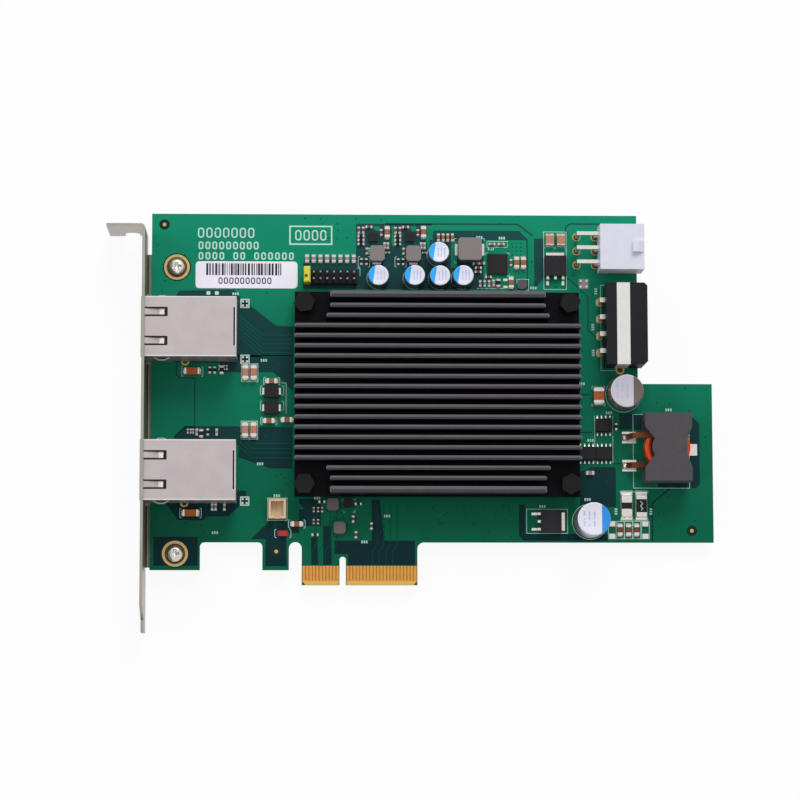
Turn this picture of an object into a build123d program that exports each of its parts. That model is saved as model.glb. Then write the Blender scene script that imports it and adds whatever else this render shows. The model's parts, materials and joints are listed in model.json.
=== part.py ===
from build123d import *
import os

# A dual-port network interface card for a four-lane expansion slot.
#
# Millimetres. X runs along the card, away from the slot bracket, Y runs from the edge
# contacts to the top edge, and Z runs out of the component side. The origin is the middle
# of the key notch at the end of the edge contacts, in the component face of the board.

# Small round pieces that repeat, and their holes, are prisms with this many sides
SMALL_ROUND_SIDES = 10

# Board outline, to the slot standard
BOARD_LEFT = -57.15
BOARD_RIGHT = 110.50
BOARD_TOP = 111.15
BOARD_BOTTOM = 12.70
BOARD_THICKNESS = 1.57
UPPER_RIGHT = 88.30
STEP_HEIGHT = 60.20
FOOT_RIGHT = -42.30
FOOT_BOTTOM = 4.45
HOOK_LEFT = -23.80
TONGUE_LEFT = -12.15
TONGUE_RIGHT = 22.15
HOOK_SLOT_WIDTH = 3.80
HOOK_SLOT_TOP = 12.80
KEY_NOTCH_WIDTH = 1.90
KEY_NOTCH_TOP = 8.45
FOOT_GAP_RADIUS = 1.35
TONGUE_CORNER_RADIUS = 2.00
BEVEL_LENGTH = 1.24
BEVEL_DEPTH = 0.45

# Edge contacts
CONTACT_PITCH = 1.00
CONTACT_WIDTH = 0.70
CONTACT_TOP = 5.70
CONTACT_THICKNESS = 0.05
CONTACT_FIRST_OFFSET = 1.50
CONTACTS_SHORT_SIDE = 11
CONTACTS_LONG_SIDE = 21

# Slot bracket, to the slot standard
BRACKET_SHEET = 0.86
BRACKET_FACE = -59.31
BRACKET_WIDTH = 18.42
BRACKET_FAR_EDGE = -4.20
BRACKET_SEAT = 104.98
BRACKET_LENGTH = 120.02
BRACKET_TAB_LENGTH = 11.43
BRACKET_BEND_RADIUS = 0.50
BRACKET_TAPER_START = -6.30
BRACKET_TAPER_END = -10.50
BRACKET_TONGUE_WIDTH = 10.19
BRACKET_TONGUE_RADIUS = 1.50
TAB_NOTCH_WIDTH = 4.40
TAB_NOTCH_DEPTH = 6.10
TAB_NOTCH_X = -63.00
TAB_NOTCH_FLARE = 1.20
EAR_WIDTH = 8.00
EAR_RIGHT = -44.60
EAR_RELIEF = 0.70
EAR_CORNER = 1.20
FLANGE_RIGHT = -53.60
PORT_WINDOW_GAP = 0.15

# Bracket screws
SCREW_X = -49.65
SCREW_UPPER_Y = 95.00
SCREW_LOWER_Y = 9.25
SCREW_DIAMETER = 3.00
SCREW_HEAD_DIAMETER = 5.20
SCREW_HEAD_HEIGHT = 1.90
SCREW_END_PROUD = 0.30
SCREW_CLEARANCE = 0.20
THREAD_CLEARANCE = 0.05

# Through-hole pins
PIN_TAIL = 1.60
HOLE_CLEARANCE = 0.20

# Network ports
PORT_UPPER_Y = 75.40
PORT_LOWER_Y = 33.10
PORT_FRONT = -59.60
PORT_LENGTH = 28.10
PORT_WIDTH = 17.80
PORT_HEIGHT = 13.50
SHIELD_SHEET = 0.25
SHIELD_FOOT_GAP = 0.20
PORT_FINGER_PITCH = 8.60
PORT_SLOT_START = 1.00
PORT_SLOT_LENGTH = 6.90
PORT_SLOT_WIDTH = 2.56
PORT_FINGER_WIDTH = 1.90
PORT_FINGER_LENGTH = 6.00
PORT_FINGER_DROP = 1.10
PORT_FINGER_DIP_SHARE = 0.75
SIDE_FINGER_START = 3.60
SIDE_FINGER_LENGTH = 5.00
SIDE_FINGER_BOW = 0.80
SIDE_FINGER_WIDTH = 3.00
SIDE_FINGER_LEVEL = 8.00
SIDE_FINGER_BOW_START = 0.35
SIDE_FINGER_BOW_END = 0.65
SHIELD_TAB_X = -47.00
SHIELD_TAB_WIDTH = 1.60
HOUSING_CLEARANCE = 0.05
PLUG_WIDTH = 11.75
PLUG_HEIGHT = 6.80
PLUG_DEPTH = 13.20
PLUG_FLOOR = 4.60
PLUG_CUT_SPARE = 1.00
LATCH_WIDTH = 6.10
LATCH_DEPTH = 1.60
LATCH_KEY_WIDTH = 3.40
LATCH_KEY_DEPTH = 1.10
INDICATOR_WIDTH = 2.90
INDICATOR_HEIGHT = 1.50
INDICATOR_LEVEL = 0.80
INDICATOR_SPREAD = 11.60
INDICATOR_DEPTH = 3.00
PLUG_CONTACTS = 8
PLUG_CONTACT_PITCH = 1.02
PLUG_CONTACT_WIDTH = 0.35
PLUG_CONTACT_REACH = 6.00
PLUG_CONTACT_DROP = 2.60
PORT_PIN_SIZE = 0.50
PORT_PIN_PITCH = 2.54
PORT_PIN_ROW_GAP = 2.54
PORT_PIN_ROW_X = -37.00
PORT_PINS_PER_ROW = 5
PORT_PEG_DIAMETER = 3.20
PORT_PEG_SPREAD = 11.43
PORT_PEG_X = -50.80
PORT_PEG_LENGTH = 2.60

# Heat sink
SINK_LEFT = -14.40
SINK_RIGHT = 70.30
SINK_TOP_EDGE = 87.00
SINK_BOTTOM_EDGE = 26.00
SINK_BASE = 2.50
SINK_STANDOFF = 2.50
SINK_TOP = 12.00
FIN_COUNT = 20
FIN_MARGIN = 4.90
FIN_THICKNESS = 1.00
FIN_TIP_THICKNESS = 0.80
END_FIN_MARGIN = 1.55
END_FIN_EXTRA = 0.80
FIN_CUT = 10.50
FIN_CUT_THIRD = 9.40
FIN_CUT_ROWS = 2
SINK_SCREW_INSET_X = 2.90
SINK_SCREW_INSET_Y = 3.50
SINK_SCREW_TURNS = [0, 8, 30, 14]
SINK_SCREW_DIAMETER = 3.00
SINK_SCREW_HEX = 5.50
SINK_SCREW_HEAD = 4.00
SINK_NUT_HEX = 5.50
SINK_NUT_HEIGHT = 2.20
SPACER_HEX = 5.00
CHIP_SIDE = 25.00
CHIP_HEIGHT = 2.00
CHIP_SUBSTRATE = 0.80
CHIP_LID_INSET = 1.00
PAD_INSET = 2.00

# Jumper header
HEADER_LEFT_PIN = -10.76
HEADER_LOWER_ROW = 90.95
HEADER_PITCH = 2.00
HEADER_COLUMNS = 8
HEADER_ROWS = 2
HEADER_STRIP_HEIGHT = 2.00
HEADER_PIN_SIZE = 0.50
HEADER_PIN_TOP = 6.00
JUMPER_WIDTH = 2.00
JUMPER_LENGTH = 4.80
JUMPER_TOP = 7.50
JUMPER_BEVEL = 0.40
JUMPER_PIN_GAP = 0.10

# Six-way power inlet
INLET_SIX_LEFT = 76.40
INLET_SIX_RIGHT = 89.55
INLET_SIX_Y = 100.30
INLET_SIX_PITCH = 4.25
INLET_SIX_COLUMNS = 3
INLET_SIX_CELL = 3.60
INLET_SIX_WALL = 0.75
INLET_SIX_FLOOR = 0.30
INLET_SIX_BACK_WALL = 2.20
INLET_SIX_PIN = 1.10
INLET_SIX_PIN_INSET = 2.50
INLET_SIX_ROW_GAP = 5.55
INLET_SIX_FIRST_ROW = 75.71
INLET_SIX_LATCH_WIDTH = 3.40
INLET_SIX_LATCH_HEIGHT = 1.40
INLET_SIX_LATCH_LENGTH = 3.60
INLET_SIX_KEY = 1.00

# Four-way power inlet
INLET_FOUR_LEFT = 78.10
INLET_FOUR_RIGHT = 90.20
INLET_FOUR_Y = 77.12
INLET_FOUR_LENGTH = 24.40
INLET_FOUR_TOP = 10.60
INLET_FOUR_PITCH = 5.08
INLET_FOUR_PINS = 4
INLET_FOUR_PIN_DIAMETER = 2.10
INLET_FOUR_TAIL = 1.40
INLET_FOUR_TAIL_X = 77.17
INLET_FOUR_OPEN_LENGTH = 21.30
INLET_FOUR_OPEN_HEIGHT = 6.60
INLET_FOUR_OPEN_CORNER = 2.00
INLET_FOUR_DEPTH = 9.60
INLET_FOUR_PIN_INSET = 2.00
INLET_FOUR_CORNER = 1.80
COLLAR_X = 83.05
COLLAR_WIDTH = 3.90
COLLAR_THICKNESS = 1.00
COLLAR_LEG_WIDTH = 2.40

# Power inductor
COIL_X = 96.05
COIL_Y = 40.40
CORE_LENGTH = 20.00
CORE_WIDTH = 13.90
CORE_HEIGHT = 11.00
CORE_PLATE = 2.40
CORE_LEG = 2.30
CORE_POST_DIAMETER = 9.60
CORE_LEFT_WAIST = 3.00
CORE_RIGHT_WAIST = 1.45
CORE_WAIST_LENGTH = 12.20
CORE_WAIST_FLAT = 4.60
COIL_DIAMETER = 13.60
COIL_WIRE_WIDTH = 1.80
COIL_SIDES = 24
COIL_GAP = 0.30
COIL_LEAD_WIDTH = 1.60
COIL_LEAD_THICKNESS = 0.90
COIL_LEAD_Y_UPPER = 44.04
COIL_LEAD_Y_LOWER = 35.62
LAND_LENGTH = 4.20
LAND_WIDTH = 3.45
LAND_LEFT_X = 85.45
LAND_RIGHT_X = 104.68
LAND_RIGHT_LENGTH = 2.30
LAND_THICKNESS = 0.30

# Large upright capacitors
CAN_DIAMETER = 10.00
CAN_UPPER = (83.90, 57.00)
CAN_LOWER = (73.60, 18.90)
CAN_UPPER_HEIGHT = 10.20
CAN_LOWER_HEIGHT = 12.50
CAN_TOP_ROUND = 0.50
BUNG_HEIGHT = 0.70
BUNG_INSET = 0.60
CAN_LEAD_PITCH = 5.00
CAN_LEAD_SIZE = 0.60

# Small upright capacitors
SMALL_CAN_DIAMETER = 6.30
SMALL_CAN_HEIGHT = 6.40
SMALL_CAN_PLACES = [(10.50, 91.85), (21.30, 91.90), (28.50, 98.90), (28.85, 91.85), (35.80, 91.90)]

# Moulded inductors
SMALL_INDUCTOR_PLACES = [(10.20, 99.00), (21.08, 99.00)]
SMALL_INDUCTOR_SIZE = (4.40, 4.60, 3.40)
MEDIUM_INDUCTOR_PLACE = (37.94, 100.28)
MEDIUM_INDUCTOR_SIZE = (7.00, 6.70, 4.50)
FLAT_INDUCTOR_PLACES = [(-0.94, 16.98), (-2.96, 23.90)]
FLAT_INDUCTOR_SIZE = (3.50, 3.50, 1.60)
INDUCTOR_CORNER = 0.60
ROUND_INDUCTOR_PLACE = (53.58, 89.90)
ROUND_INDUCTOR_DIAMETER = 3.10
ROUND_INDUCTOR_HEIGHT = 2.00

# Leadless chips: place and side
LEADLESS_HEIGHT = 0.90
LEADLESS_PLACES = [(9.11, 104.27, 2.70), (20.00, 104.35, 2.70), (46.36, 96.20, 6.00), (1.62, 24.30, 2.60)]

# Power transistors
TRANSISTOR_UPPER = (63.69, 95.60)
TRANSISTOR_LOWER = (61.89, 18.86)
TRANSISTOR_WIDTH = 6.50
TRANSISTOR_LENGTH = 6.10
TRANSISTOR_HEIGHT = 2.30
TRANSISTOR_SLUG = 0.50
TRANSISTOR_TAB = 1.10
TRANSISTOR_TAB_WIDTH = 5.40
TRANSISTOR_LEAD_PITCH = 2.29
TRANSISTOR_LEAD_WIDTH = 0.76
TRANSISTOR_LEAD_LENGTH = 2.70
TRANSISTOR_LEAD_LEVEL = 1.10
TRANSISTOR_LEAD_SHOULDER = 0.30
TRANSISTOR_LEAD_KNEE = 0.50
TRANSISTOR_STUB_SHARE = 0.35

# Eight-leaded chips
DRIVER_PLACES = [(77.91, 47.58), (72.81, 39.16), (77.93, 39.17)]
DRIVER_LENGTH = 4.90
DRIVER_WIDTH = 3.90
DRIVER_SPAN = 6.00
DRIVER_BOTTOM = 0.15
DRIVER_HEIGHT = 1.55
DRIVER_CHAMFER = 0.30
DRIVER_LEAD_PITCH = 1.27
DRIVER_LEAD_WIDTH = 0.41
DRIVER_LEAD_THICKNESS = 0.20
DRIVER_LEAD_FOOT = 0.60
DRIVER_LEAD_LEVEL = 0.80
DRIVER_LEADS_PER_SIDE = 4

# Clamp diodes
CLAMP_PLACES = [(-21.24, 57.58), (-21.25, 52.64)]
CLAMP_LENGTH = 4.30
CLAMP_WIDTH = 3.60
CLAMP_HEIGHT = 2.20
CLAMP_LEAD_WIDTH = 2.00
CLAMP_LEAD_THICKNESS = 0.30
CLAMP_LEAD_REACH = 0.60
CLAMP_LEAD_LEVEL = 1.00

# Chip parts: length over the end caps, width, height
CASE_0603 = (1.60, 0.80, 0.80)
CASE_0805 = (2.00, 1.25, 1.00)
CASE_1206 = (3.20, 1.60, 1.40)
CASE_1210 = (3.20, 2.50, 2.00)
CASE_1808 = (4.50, 2.00, 1.80)
CASE_1812 = (4.50, 3.20, 2.00)
CASE_2512 = (6.30, 3.20, 0.90)
ALONG_X = 0
ALONG_Y = 90

# Ceramic capacitors: case, direction of the length, and places
CAPACITORS = [
    (CASE_0805, ALONG_Y, [(28.44, 104.60), (29.84, 104.60), (31.24, 104.60), (32.64, 104.60)]),
    (CASE_1206, ALONG_Y, [(13.25, 105.70), (24.16, 105.80), (52.07, 96.60), (54.12, 96.60), (50.40, 90.55)]),
    (CASE_1206, ALONG_Y, [(82.44, 16.40), (84.98, 16.40), (87.41, 16.40)]),
    (CASE_1206, ALONG_X, [(-21.24, 60.70), (-22.00, 48.83), (-13.63, 18.09)]),
    (CASE_1210, ALONG_Y, [(62.06, 103.50), (65.40, 103.50)]),
    (CASE_1808, ALONG_X, [(-44.90, 63.60), (-45.11, 21.30)]),
    (CASE_1808, ALONG_Y, [(-29.04, 63.24), (-26.54, 63.24), (-29.04, 46.05), (-26.54, 46.05)]),
    (CASE_1812, ALONG_Y, [(76.43, 56.46)]),
]

# The row of small parts beside the jumper header
HEADER_ROW_Y = 97.64
HEADER_ROW_COUNT = 8

# Chip resistors: case, direction of the length, and places
RESISTORS = [
    (CASE_0603, ALONG_Y, [(44.97, 102.20), (47.79, 102.20), (81.60, 47.30)]),
    (CASE_0805, ALONG_Y, [(-36.13, 64.04), (-42.07, 45.00)]),
]
SHUNT_PLACE = (84.57, 23.62)
FUSE_PLACE = (88.99, 23.63)

# Wafer connector and status light
WAFER_PLACE = (-19.44, 22.51)
WAFER_SIZE = (5.17, 5.79, 3.40)
WAFER_WALL = 0.70
WAFER_FLOOR = 1.00
WAFER_KEY_SHARE = 1 / 3
LIGHT_PLACE = (-17.77, 15.28)
LIGHT_SIZE = (3.20, 1.60, 1.10)
LIGHT_BASE = 0.40
LIGHT_LENS_SHARE = 0.60

# Label
LABEL_X = -29.00
LABEL_Y = 92.70
LABEL_LENGTH = 30.10
LABEL_HEIGHT = 8.40
LABEL_THICKNESS = 0.10

# Derived places
BOARD_BACK = -BOARD_THICKNESS
TAIL_END = BOARD_BACK - PIN_TAIL
BRACKET_INNER = BRACKET_FACE + BRACKET_SHEET
BRACKET_NEAR_EDGE = BRACKET_FAR_EDGE + BRACKET_WIDTH
BRACKET_TOP = BRACKET_SEAT + BRACKET_SHEET
EAR_BACK = BOARD_BACK - BRACKET_SHEET
SINK_BASE_TOP = SINK_STANDOFF + SINK_BASE
SINK_X = (SINK_LEFT + SINK_RIGHT) / 2
SINK_Y = (SINK_TOP_EDGE + SINK_BOTTOM_EDGE) / 2
FIN_PITCH = (SINK_TOP_EDGE - SINK_BOTTOM_EDGE - 2 * FIN_MARGIN) / (FIN_COUNT - 3)
SINK_SCREW_PLACES = [
    (x, y)
    for x in (SINK_LEFT + SINK_SCREW_INSET_X, SINK_RIGHT - SINK_SCREW_INSET_X)
    for y in (SINK_BOTTOM_EDGE + SINK_SCREW_INSET_Y, SINK_TOP_EDGE - SINK_SCREW_INSET_Y)
]
HEADER_PIN_PLACES = [
    (HEADER_LEFT_PIN + column * HEADER_PITCH, HEADER_LOWER_ROW + row * HEADER_PITCH)
    for column in range(HEADER_COLUMNS)
    for row in range(HEADER_ROWS)
]
INLET_SIX_LENGTH = INLET_SIX_PITCH * (INLET_SIX_COLUMNS - 1) + INLET_SIX_CELL + 2 * INLET_SIX_WALL
INLET_SIX_TOP = INLET_SIX_FLOOR + INLET_SIX_PITCH + INLET_SIX_CELL + 2 * INLET_SIX_WALL
INLET_SIX_LEVELS = [
    INLET_SIX_FLOOR + INLET_SIX_WALL + INLET_SIX_CELL / 2 + row * INLET_SIX_PITCH for row in range(2)
]
INLET_SIX_YS = [
    INLET_SIX_Y + (column - (INLET_SIX_COLUMNS - 1) / 2) * INLET_SIX_PITCH
    for column in range(INLET_SIX_COLUMNS)
]
INLET_FOUR_YS = [
    INLET_FOUR_Y + (pin - (INLET_FOUR_PINS - 1) / 2) * INLET_FOUR_PITCH for pin in range(INLET_FOUR_PINS)
]
INLET_FOUR_LEVEL = INLET_FOUR_TOP / 2
CORE_BOTTOM = LAND_THICKNESS


def block(x0, x1, y0, y1, z0, z1):
    """A box between two opposite corners."""
    centre = Pos((x0 + x1) / 2, (y0 + y1) / 2, (z0 + z1) / 2)
    return centre * Box(x1 - x0, y1 - y0, z1 - z0)


def brick(x, y, z, length, width, height):
    """A box centred on x, y that stands on the level z."""
    return Pos(x, y, z + height / 2) * Box(length, width, height)


def disc(x, y, diameter):
    """The face of a small round piece or hole, as an even polygon."""
    return Pos(x, y) * RegularPolygon(diameter / 2, SMALL_ROUND_SIDES)


def rod(x, y, z0, z1, diameter):
    """A small upright round bar between two levels."""
    return Pos(0, 0, z0) * extrude(disc(x, y, diameter), z1 - z0)


def flat_rectangle(x0, x1, y0, y1):
    """A rectangle in the board's plane between two opposite corners."""
    return Pos((x0 + x1) / 2, (y0 + y1) / 2) * Rectangle(x1 - x0, y1 - y0)


def strip_outline(points, thickness):
    """The outline of a strip of even thickness that follows a bent line."""
    steps = [(Vector(b) - Vector(a)).normalized() for a, b in zip(points, points[1:])]
    sides = [Vector(-step.Y, step.X) for step in steps]
    offsets = [sides[0]]
    for before, after in zip(sides, sides[1:]):
        offsets.append((before + after) * (1 / (1 + before.dot(after))))
    offsets.append(sides[-1])
    left = [Vector(point) + offset * (thickness / 2) for point, offset in zip(points, offsets)]
    right = [Vector(point) - offset * (thickness / 2) for point, offset in zip(points, offsets)]
    return Polygon(*[(p.X, p.Y) for p in left + right[::-1]], align=None)


def strip_along_x(points, thickness, y, width):
    """A bent strip whose line lies in X and Z, centred on y."""
    return Pos(0, y, 0) * extrude(Plane.XZ * strip_outline(points, thickness), width / 2, both=True)


def strip_along_y(points, thickness, x, width):
    """A bent strip whose line lies in Y and Z, centred on x."""
    return Pos(x, 0, 0) * extrude(Plane.YZ * strip_outline(points, thickness), width / 2, both=True)


def edge_near(shape, axis, place):
    """The edge parallel to an axis that lies nearest to a place."""
    return shape.edges().filter_by(axis).sort_by_distance(place)[0]


def edges_near(shape, axis, places):
    """The edges parallel to an axis that lie nearest to the places."""
    return [edge_near(shape, axis, place) for place in places]


def save(name, shape):
    """Write one sub-part, a single solid or a list of separate ones."""
    solids = shape if isinstance(shape, list) else [shape]
    whole = [solid for item in solids for solid in item.solids()]
    export_step(Compound(whole) if len(whole) > 1 else whole[0], f"parts/{name}.step")


def port_tail_places(y):
    """Places of a port's solder tails: two staggered rows."""
    places = []
    for row in range(2):
        for pin in range(PORT_PINS_PER_ROW):
            shift = (pin - (PORT_PINS_PER_ROW - 1) / 2 + (row - 0.5) / 2) * PORT_PIN_PITCH
            places.append((PORT_PIN_ROW_X + row * PORT_PIN_ROW_GAP, y + shift))
    return places


def lead_pair(place, pitch):
    """The two lead places of an upright capacitor."""
    x, y = place
    return [(x - pitch / 2, y), (x + pitch / 2, y)]


def square_hole_places():
    """Every square pin hole of the board, as x, y and the pin's side."""
    holes = []
    for y in (PORT_UPPER_Y, PORT_LOWER_Y):
        holes += [(px, py, PORT_PIN_SIZE) for px, py in port_tail_places(y)]
    holes += [(px, py, HEADER_PIN_SIZE) for px, py in HEADER_PIN_PLACES]
    for y in INLET_SIX_YS:
        for row in range(2):
            holes.append((INLET_SIX_FIRST_ROW - row * INLET_SIX_ROW_GAP, y, INLET_SIX_PIN))
    holes += [(INLET_FOUR_TAIL_X, y, INLET_FOUR_TAIL) for y in INLET_FOUR_YS]
    for place in (CAN_UPPER, CAN_LOWER):
        holes += [(px, py, CAN_LEAD_SIZE) for px, py in lead_pair(place, CAN_LEAD_PITCH)]
    return holes


def board_face():
    """The board's outline with its notches, slots and rounded inner corners."""
    face = flat_rectangle(BOARD_LEFT, UPPER_RIGHT, BOARD_BOTTOM, BOARD_TOP)
    face += flat_rectangle(BOARD_LEFT, BOARD_RIGHT, BOARD_BOTTOM, STEP_HEIGHT)
    face += flat_rectangle(BOARD_LEFT, FOOT_RIGHT, FOOT_BOTTOM, BOARD_BOTTOM)
    face += flat_rectangle(HOOK_LEFT, TONGUE_LEFT, FOOT_BOTTOM, BOARD_BOTTOM)
    face += flat_rectangle(TONGUE_LEFT, TONGUE_RIGHT, 0, BOARD_BOTTOM)
    rounded = (
        (FOOT_RIGHT, FOOT_GAP_RADIUS),
        (HOOK_LEFT, FOOT_GAP_RADIUS),
        (TONGUE_RIGHT, TONGUE_CORNER_RADIUS),
    )
    for x, radius in rounded:
        corner = face.vertices().sort_by_distance((x, BOARD_BOTTOM, 0))[0]
        face = fillet(corner, radius)
    slots = (
        (TONGUE_LEFT - HOOK_SLOT_WIDTH / 2, HOOK_SLOT_WIDTH, HOOK_SLOT_TOP),
        (0, KEY_NOTCH_WIDTH, KEY_NOTCH_TOP),
    )
    for x, width, top in slots:
        face -= flat_rectangle(x - width / 2, x + width / 2, -width, top - width / 2)
        face -= Pos(x, top - width / 2) * Circle(width / 2)
    return face


def shield_tab_places(y):
    """Places of a port shield's two solder tabs, as x, y."""
    side = PORT_WIDTH / 2 - SHIELD_SHEET / 2
    return [(SHIELD_TAB_X, y - side), (SHIELD_TAB_X, y + side)]


def collar_leg_ys():
    """The middle of the collar's two legs."""
    reach = INLET_FOUR_LENGTH / 2 - COLLAR_THICKNESS / 2
    return [INLET_FOUR_Y - reach, INLET_FOUR_Y + reach]


def circuit_board():
    """The laminate with its drilled and routed holes and its bevelled tongue."""
    holes = []
    for y in (SCREW_UPPER_Y, SCREW_LOWER_Y):
        holes.append(disc(SCREW_X, y, SCREW_DIAMETER + SCREW_CLEARANCE))
    for x, y in SINK_SCREW_PLACES:
        holes.append(disc(x, y, SINK_SCREW_DIAMETER + SCREW_CLEARANCE))
    for y in (PORT_UPPER_Y, PORT_LOWER_Y):
        for side in (-1, 1):
            peg_y = y + side * PORT_PEG_SPREAD / 2
            holes.append(disc(PORT_PEG_X, peg_y, PORT_PEG_DIAMETER + HOLE_CLEARANCE))
        for tab_x, tab_y in shield_tab_places(y):
            slot = Rectangle(SHIELD_TAB_WIDTH + HOLE_CLEARANCE, SHIELD_SHEET + HOLE_CLEARANCE)
            holes.append(Pos(tab_x, tab_y) * slot)
    for y in collar_leg_ys():
        slot = Rectangle(COLLAR_LEG_WIDTH + HOLE_CLEARANCE, COLLAR_THICKNESS + HOLE_CLEARANCE)
        holes.append(Pos(COLLAR_X, y) * slot)
    for x, y, side in square_hole_places():
        holes.append(Pos(x, y) * Rectangle(side + HOLE_CLEARANCE, side + HOLE_CLEARANCE))
    face = board_face() - holes
    board = extrude(face, -BOARD_THICKNESS)
    for level, inward in ((0, -1), (BOARD_BACK, 1)):
        corner = Polygon(
            (-BEVEL_LENGTH, level - inward * BEVEL_DEPTH),
            (BEVEL_LENGTH, level - inward * BEVEL_DEPTH),
            (BEVEL_LENGTH, level),
            (0, level + inward * BEVEL_DEPTH),
            (-BEVEL_LENGTH, level + 2 * inward * BEVEL_DEPTH),
            align=None,
        )
        wedge = extrude(Plane.YZ * corner, TONGUE_RIGHT - TONGUE_LEFT)
        board -= Pos(TONGUE_LEFT, 0, 0) * wedge
    return board


def edge_contacts(level):
    """One face's row of gold contacts, on either side of the key notch."""
    places = [-CONTACT_FIRST_OFFSET - i * CONTACT_PITCH for i in range(CONTACTS_SHORT_SIDE)]
    places += [CONTACT_FIRST_OFFSET + i * CONTACT_PITCH for i in range(CONTACTS_LONG_SIDE)]
    half = CONTACT_WIDTH / 2
    return [
        block(x - half, x + half, BEVEL_LENGTH, CONTACT_TOP, level, level + CONTACT_THICKNESS)
        for x in places
    ]


def bracket():
    """The folded slot bracket: plate, tab, taper, tongue, windows, and a flange with two ears."""
    tab_end = BRACKET_FACE - BRACKET_TAB_LENGTH + BRACKET_SHEET
    bottom = BRACKET_TOP - BRACKET_LENGTH
    plate = flat_rectangle(BRACKET_FACE, BRACKET_INNER, bottom, BRACKET_TOP)
    plate += flat_rectangle(tab_end, BRACKET_INNER, BRACKET_SEAT, BRACKET_TOP)
    inner = plate.vertices().sort_by_distance((BRACKET_FACE, BRACKET_SEAT, 0))[0]
    plate = fillet(inner, BRACKET_BEND_RADIUS)
    outer = plate.vertices().sort_by_distance((BRACKET_INNER, BRACKET_TOP, 0))[0]
    plate = fillet(outer, BRACKET_BEND_RADIUS + BRACKET_SHEET)
    sheet = Pos(0, 0, BRACKET_FAR_EDGE) * extrude(plate, BRACKET_WIDTH)

    # The plate's lower end narrows to a tongue with rounded corners
    tongue_edge = BRACKET_FAR_EDGE + BRACKET_TONGUE_WIDTH
    spare = BRACKET_WIDTH
    taper = Polygon(
        (BRACKET_TAPER_START, BRACKET_NEAR_EDGE),
        (BRACKET_TAPER_END, tongue_edge),
        (bottom - spare, tongue_edge),
        (bottom - spare, BRACKET_NEAR_EDGE + spare),
        (BRACKET_TAPER_START, BRACKET_NEAR_EDGE + spare),
        align=None,
    )
    across = 4 * BRACKET_SHEET
    sheet -= Pos(BRACKET_FACE, 0, 0) * extrude(Plane.YZ * taper, across, both=True)
    corners = [(BRACKET_FACE, bottom, BRACKET_FAR_EDGE), (BRACKET_FACE, bottom, tongue_edge)]
    sheet = fillet(edges_near(sheet, Axis.X, corners), BRACKET_TONGUE_RADIUS)

    # The tab's screw notch is open at the far edge
    notch_end = BRACKET_FAR_EDGE + TAB_NOTCH_DEPTH - TAB_NOTCH_WIDTH / 2
    half = TAB_NOTCH_WIDTH / 2
    notch = block(
        TAB_NOTCH_X - half, TAB_NOTCH_X + half, BRACKET_SEAT - across, BRACKET_TOP + across,
        BRACKET_FAR_EDGE - spare, notch_end,
    )
    notch += Pos(TAB_NOTCH_X, BRACKET_SEAT, notch_end) * Rot(90, 0, 0) * Cylinder(half, 2 * across)
    flare = Polygon(
        (TAB_NOTCH_X + half, BRACKET_FAR_EDGE + TAB_NOTCH_FLARE),
        (TAB_NOTCH_X + half, BRACKET_FAR_EDGE),
        (TAB_NOTCH_X + half + TAB_NOTCH_FLARE, BRACKET_FAR_EDGE),
        align=None,
    )
    notch += Pos(0, BRACKET_SEAT, 0) * extrude(Plane.XZ * flare, across, both=True)
    sheet -= notch

    # One window for each port
    for y in (PORT_UPPER_Y, PORT_LOWER_Y):
        reach = PORT_WIDTH / 2 + PORT_WINDOW_GAP
        sheet -= block(
            BRACKET_FACE - across, BRACKET_INNER + across, y - reach, y + reach,
            -PORT_WINDOW_GAP, PORT_HEIGHT + PORT_WINDOW_GAP,
        )

    # The plate's far edge is cut back where one long flange is folded under the board
    reach = EAR_WIDTH / 2
    low = SCREW_LOWER_Y - reach
    high = SCREW_UPPER_Y + reach
    sheet -= block(
        BRACKET_FACE - across, BRACKET_INNER + across, low - EAR_RELIEF, high + EAR_RELIEF,
        BRACKET_FAR_EDGE - across, BOARD_BACK,
    )
    flange = block(BRACKET_FACE, FLANGE_RIGHT, low, high, EAR_BACK, BOARD_BACK)
    for y in (SCREW_UPPER_Y, SCREW_LOWER_Y):
        ear = block(BRACKET_FACE, EAR_RIGHT, y - reach, y + reach, EAR_BACK, BOARD_BACK)
        ends = [(EAR_RIGHT, y - reach, EAR_BACK), (EAR_RIGHT, y + reach, EAR_BACK)]
        flange += chamfer(edges_near(ear, Axis.Z, ends), EAR_CORNER)
    fold = edge_near(flange, Axis.Y, (BRACKET_FACE, (low + high) / 2, EAR_BACK))
    sheet += fillet(fold, BRACKET_BEND_RADIUS)
    thread = SCREW_DIAMETER + THREAD_CLEARANCE
    for y in (SCREW_UPPER_Y, SCREW_LOWER_Y):
        sheet -= rod(SCREW_X, y, EAR_BACK - across, BOARD_BACK + across, thread)
    return sheet


def bracket_screws():
    """Two pan-headed screws through the board into the bracket's ears."""
    screws = []
    for y in (SCREW_UPPER_Y, SCREW_LOWER_Y):
        head = Pos(SCREW_X, y, SCREW_HEAD_HEIGHT / 2) * Cylinder(SCREW_HEAD_DIAMETER / 2, SCREW_HEAD_HEIGHT)
        screws.append(head + rod(SCREW_X, y, EAR_BACK - SCREW_END_PROUD, 0, SCREW_DIAMETER))
    return screws


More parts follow.
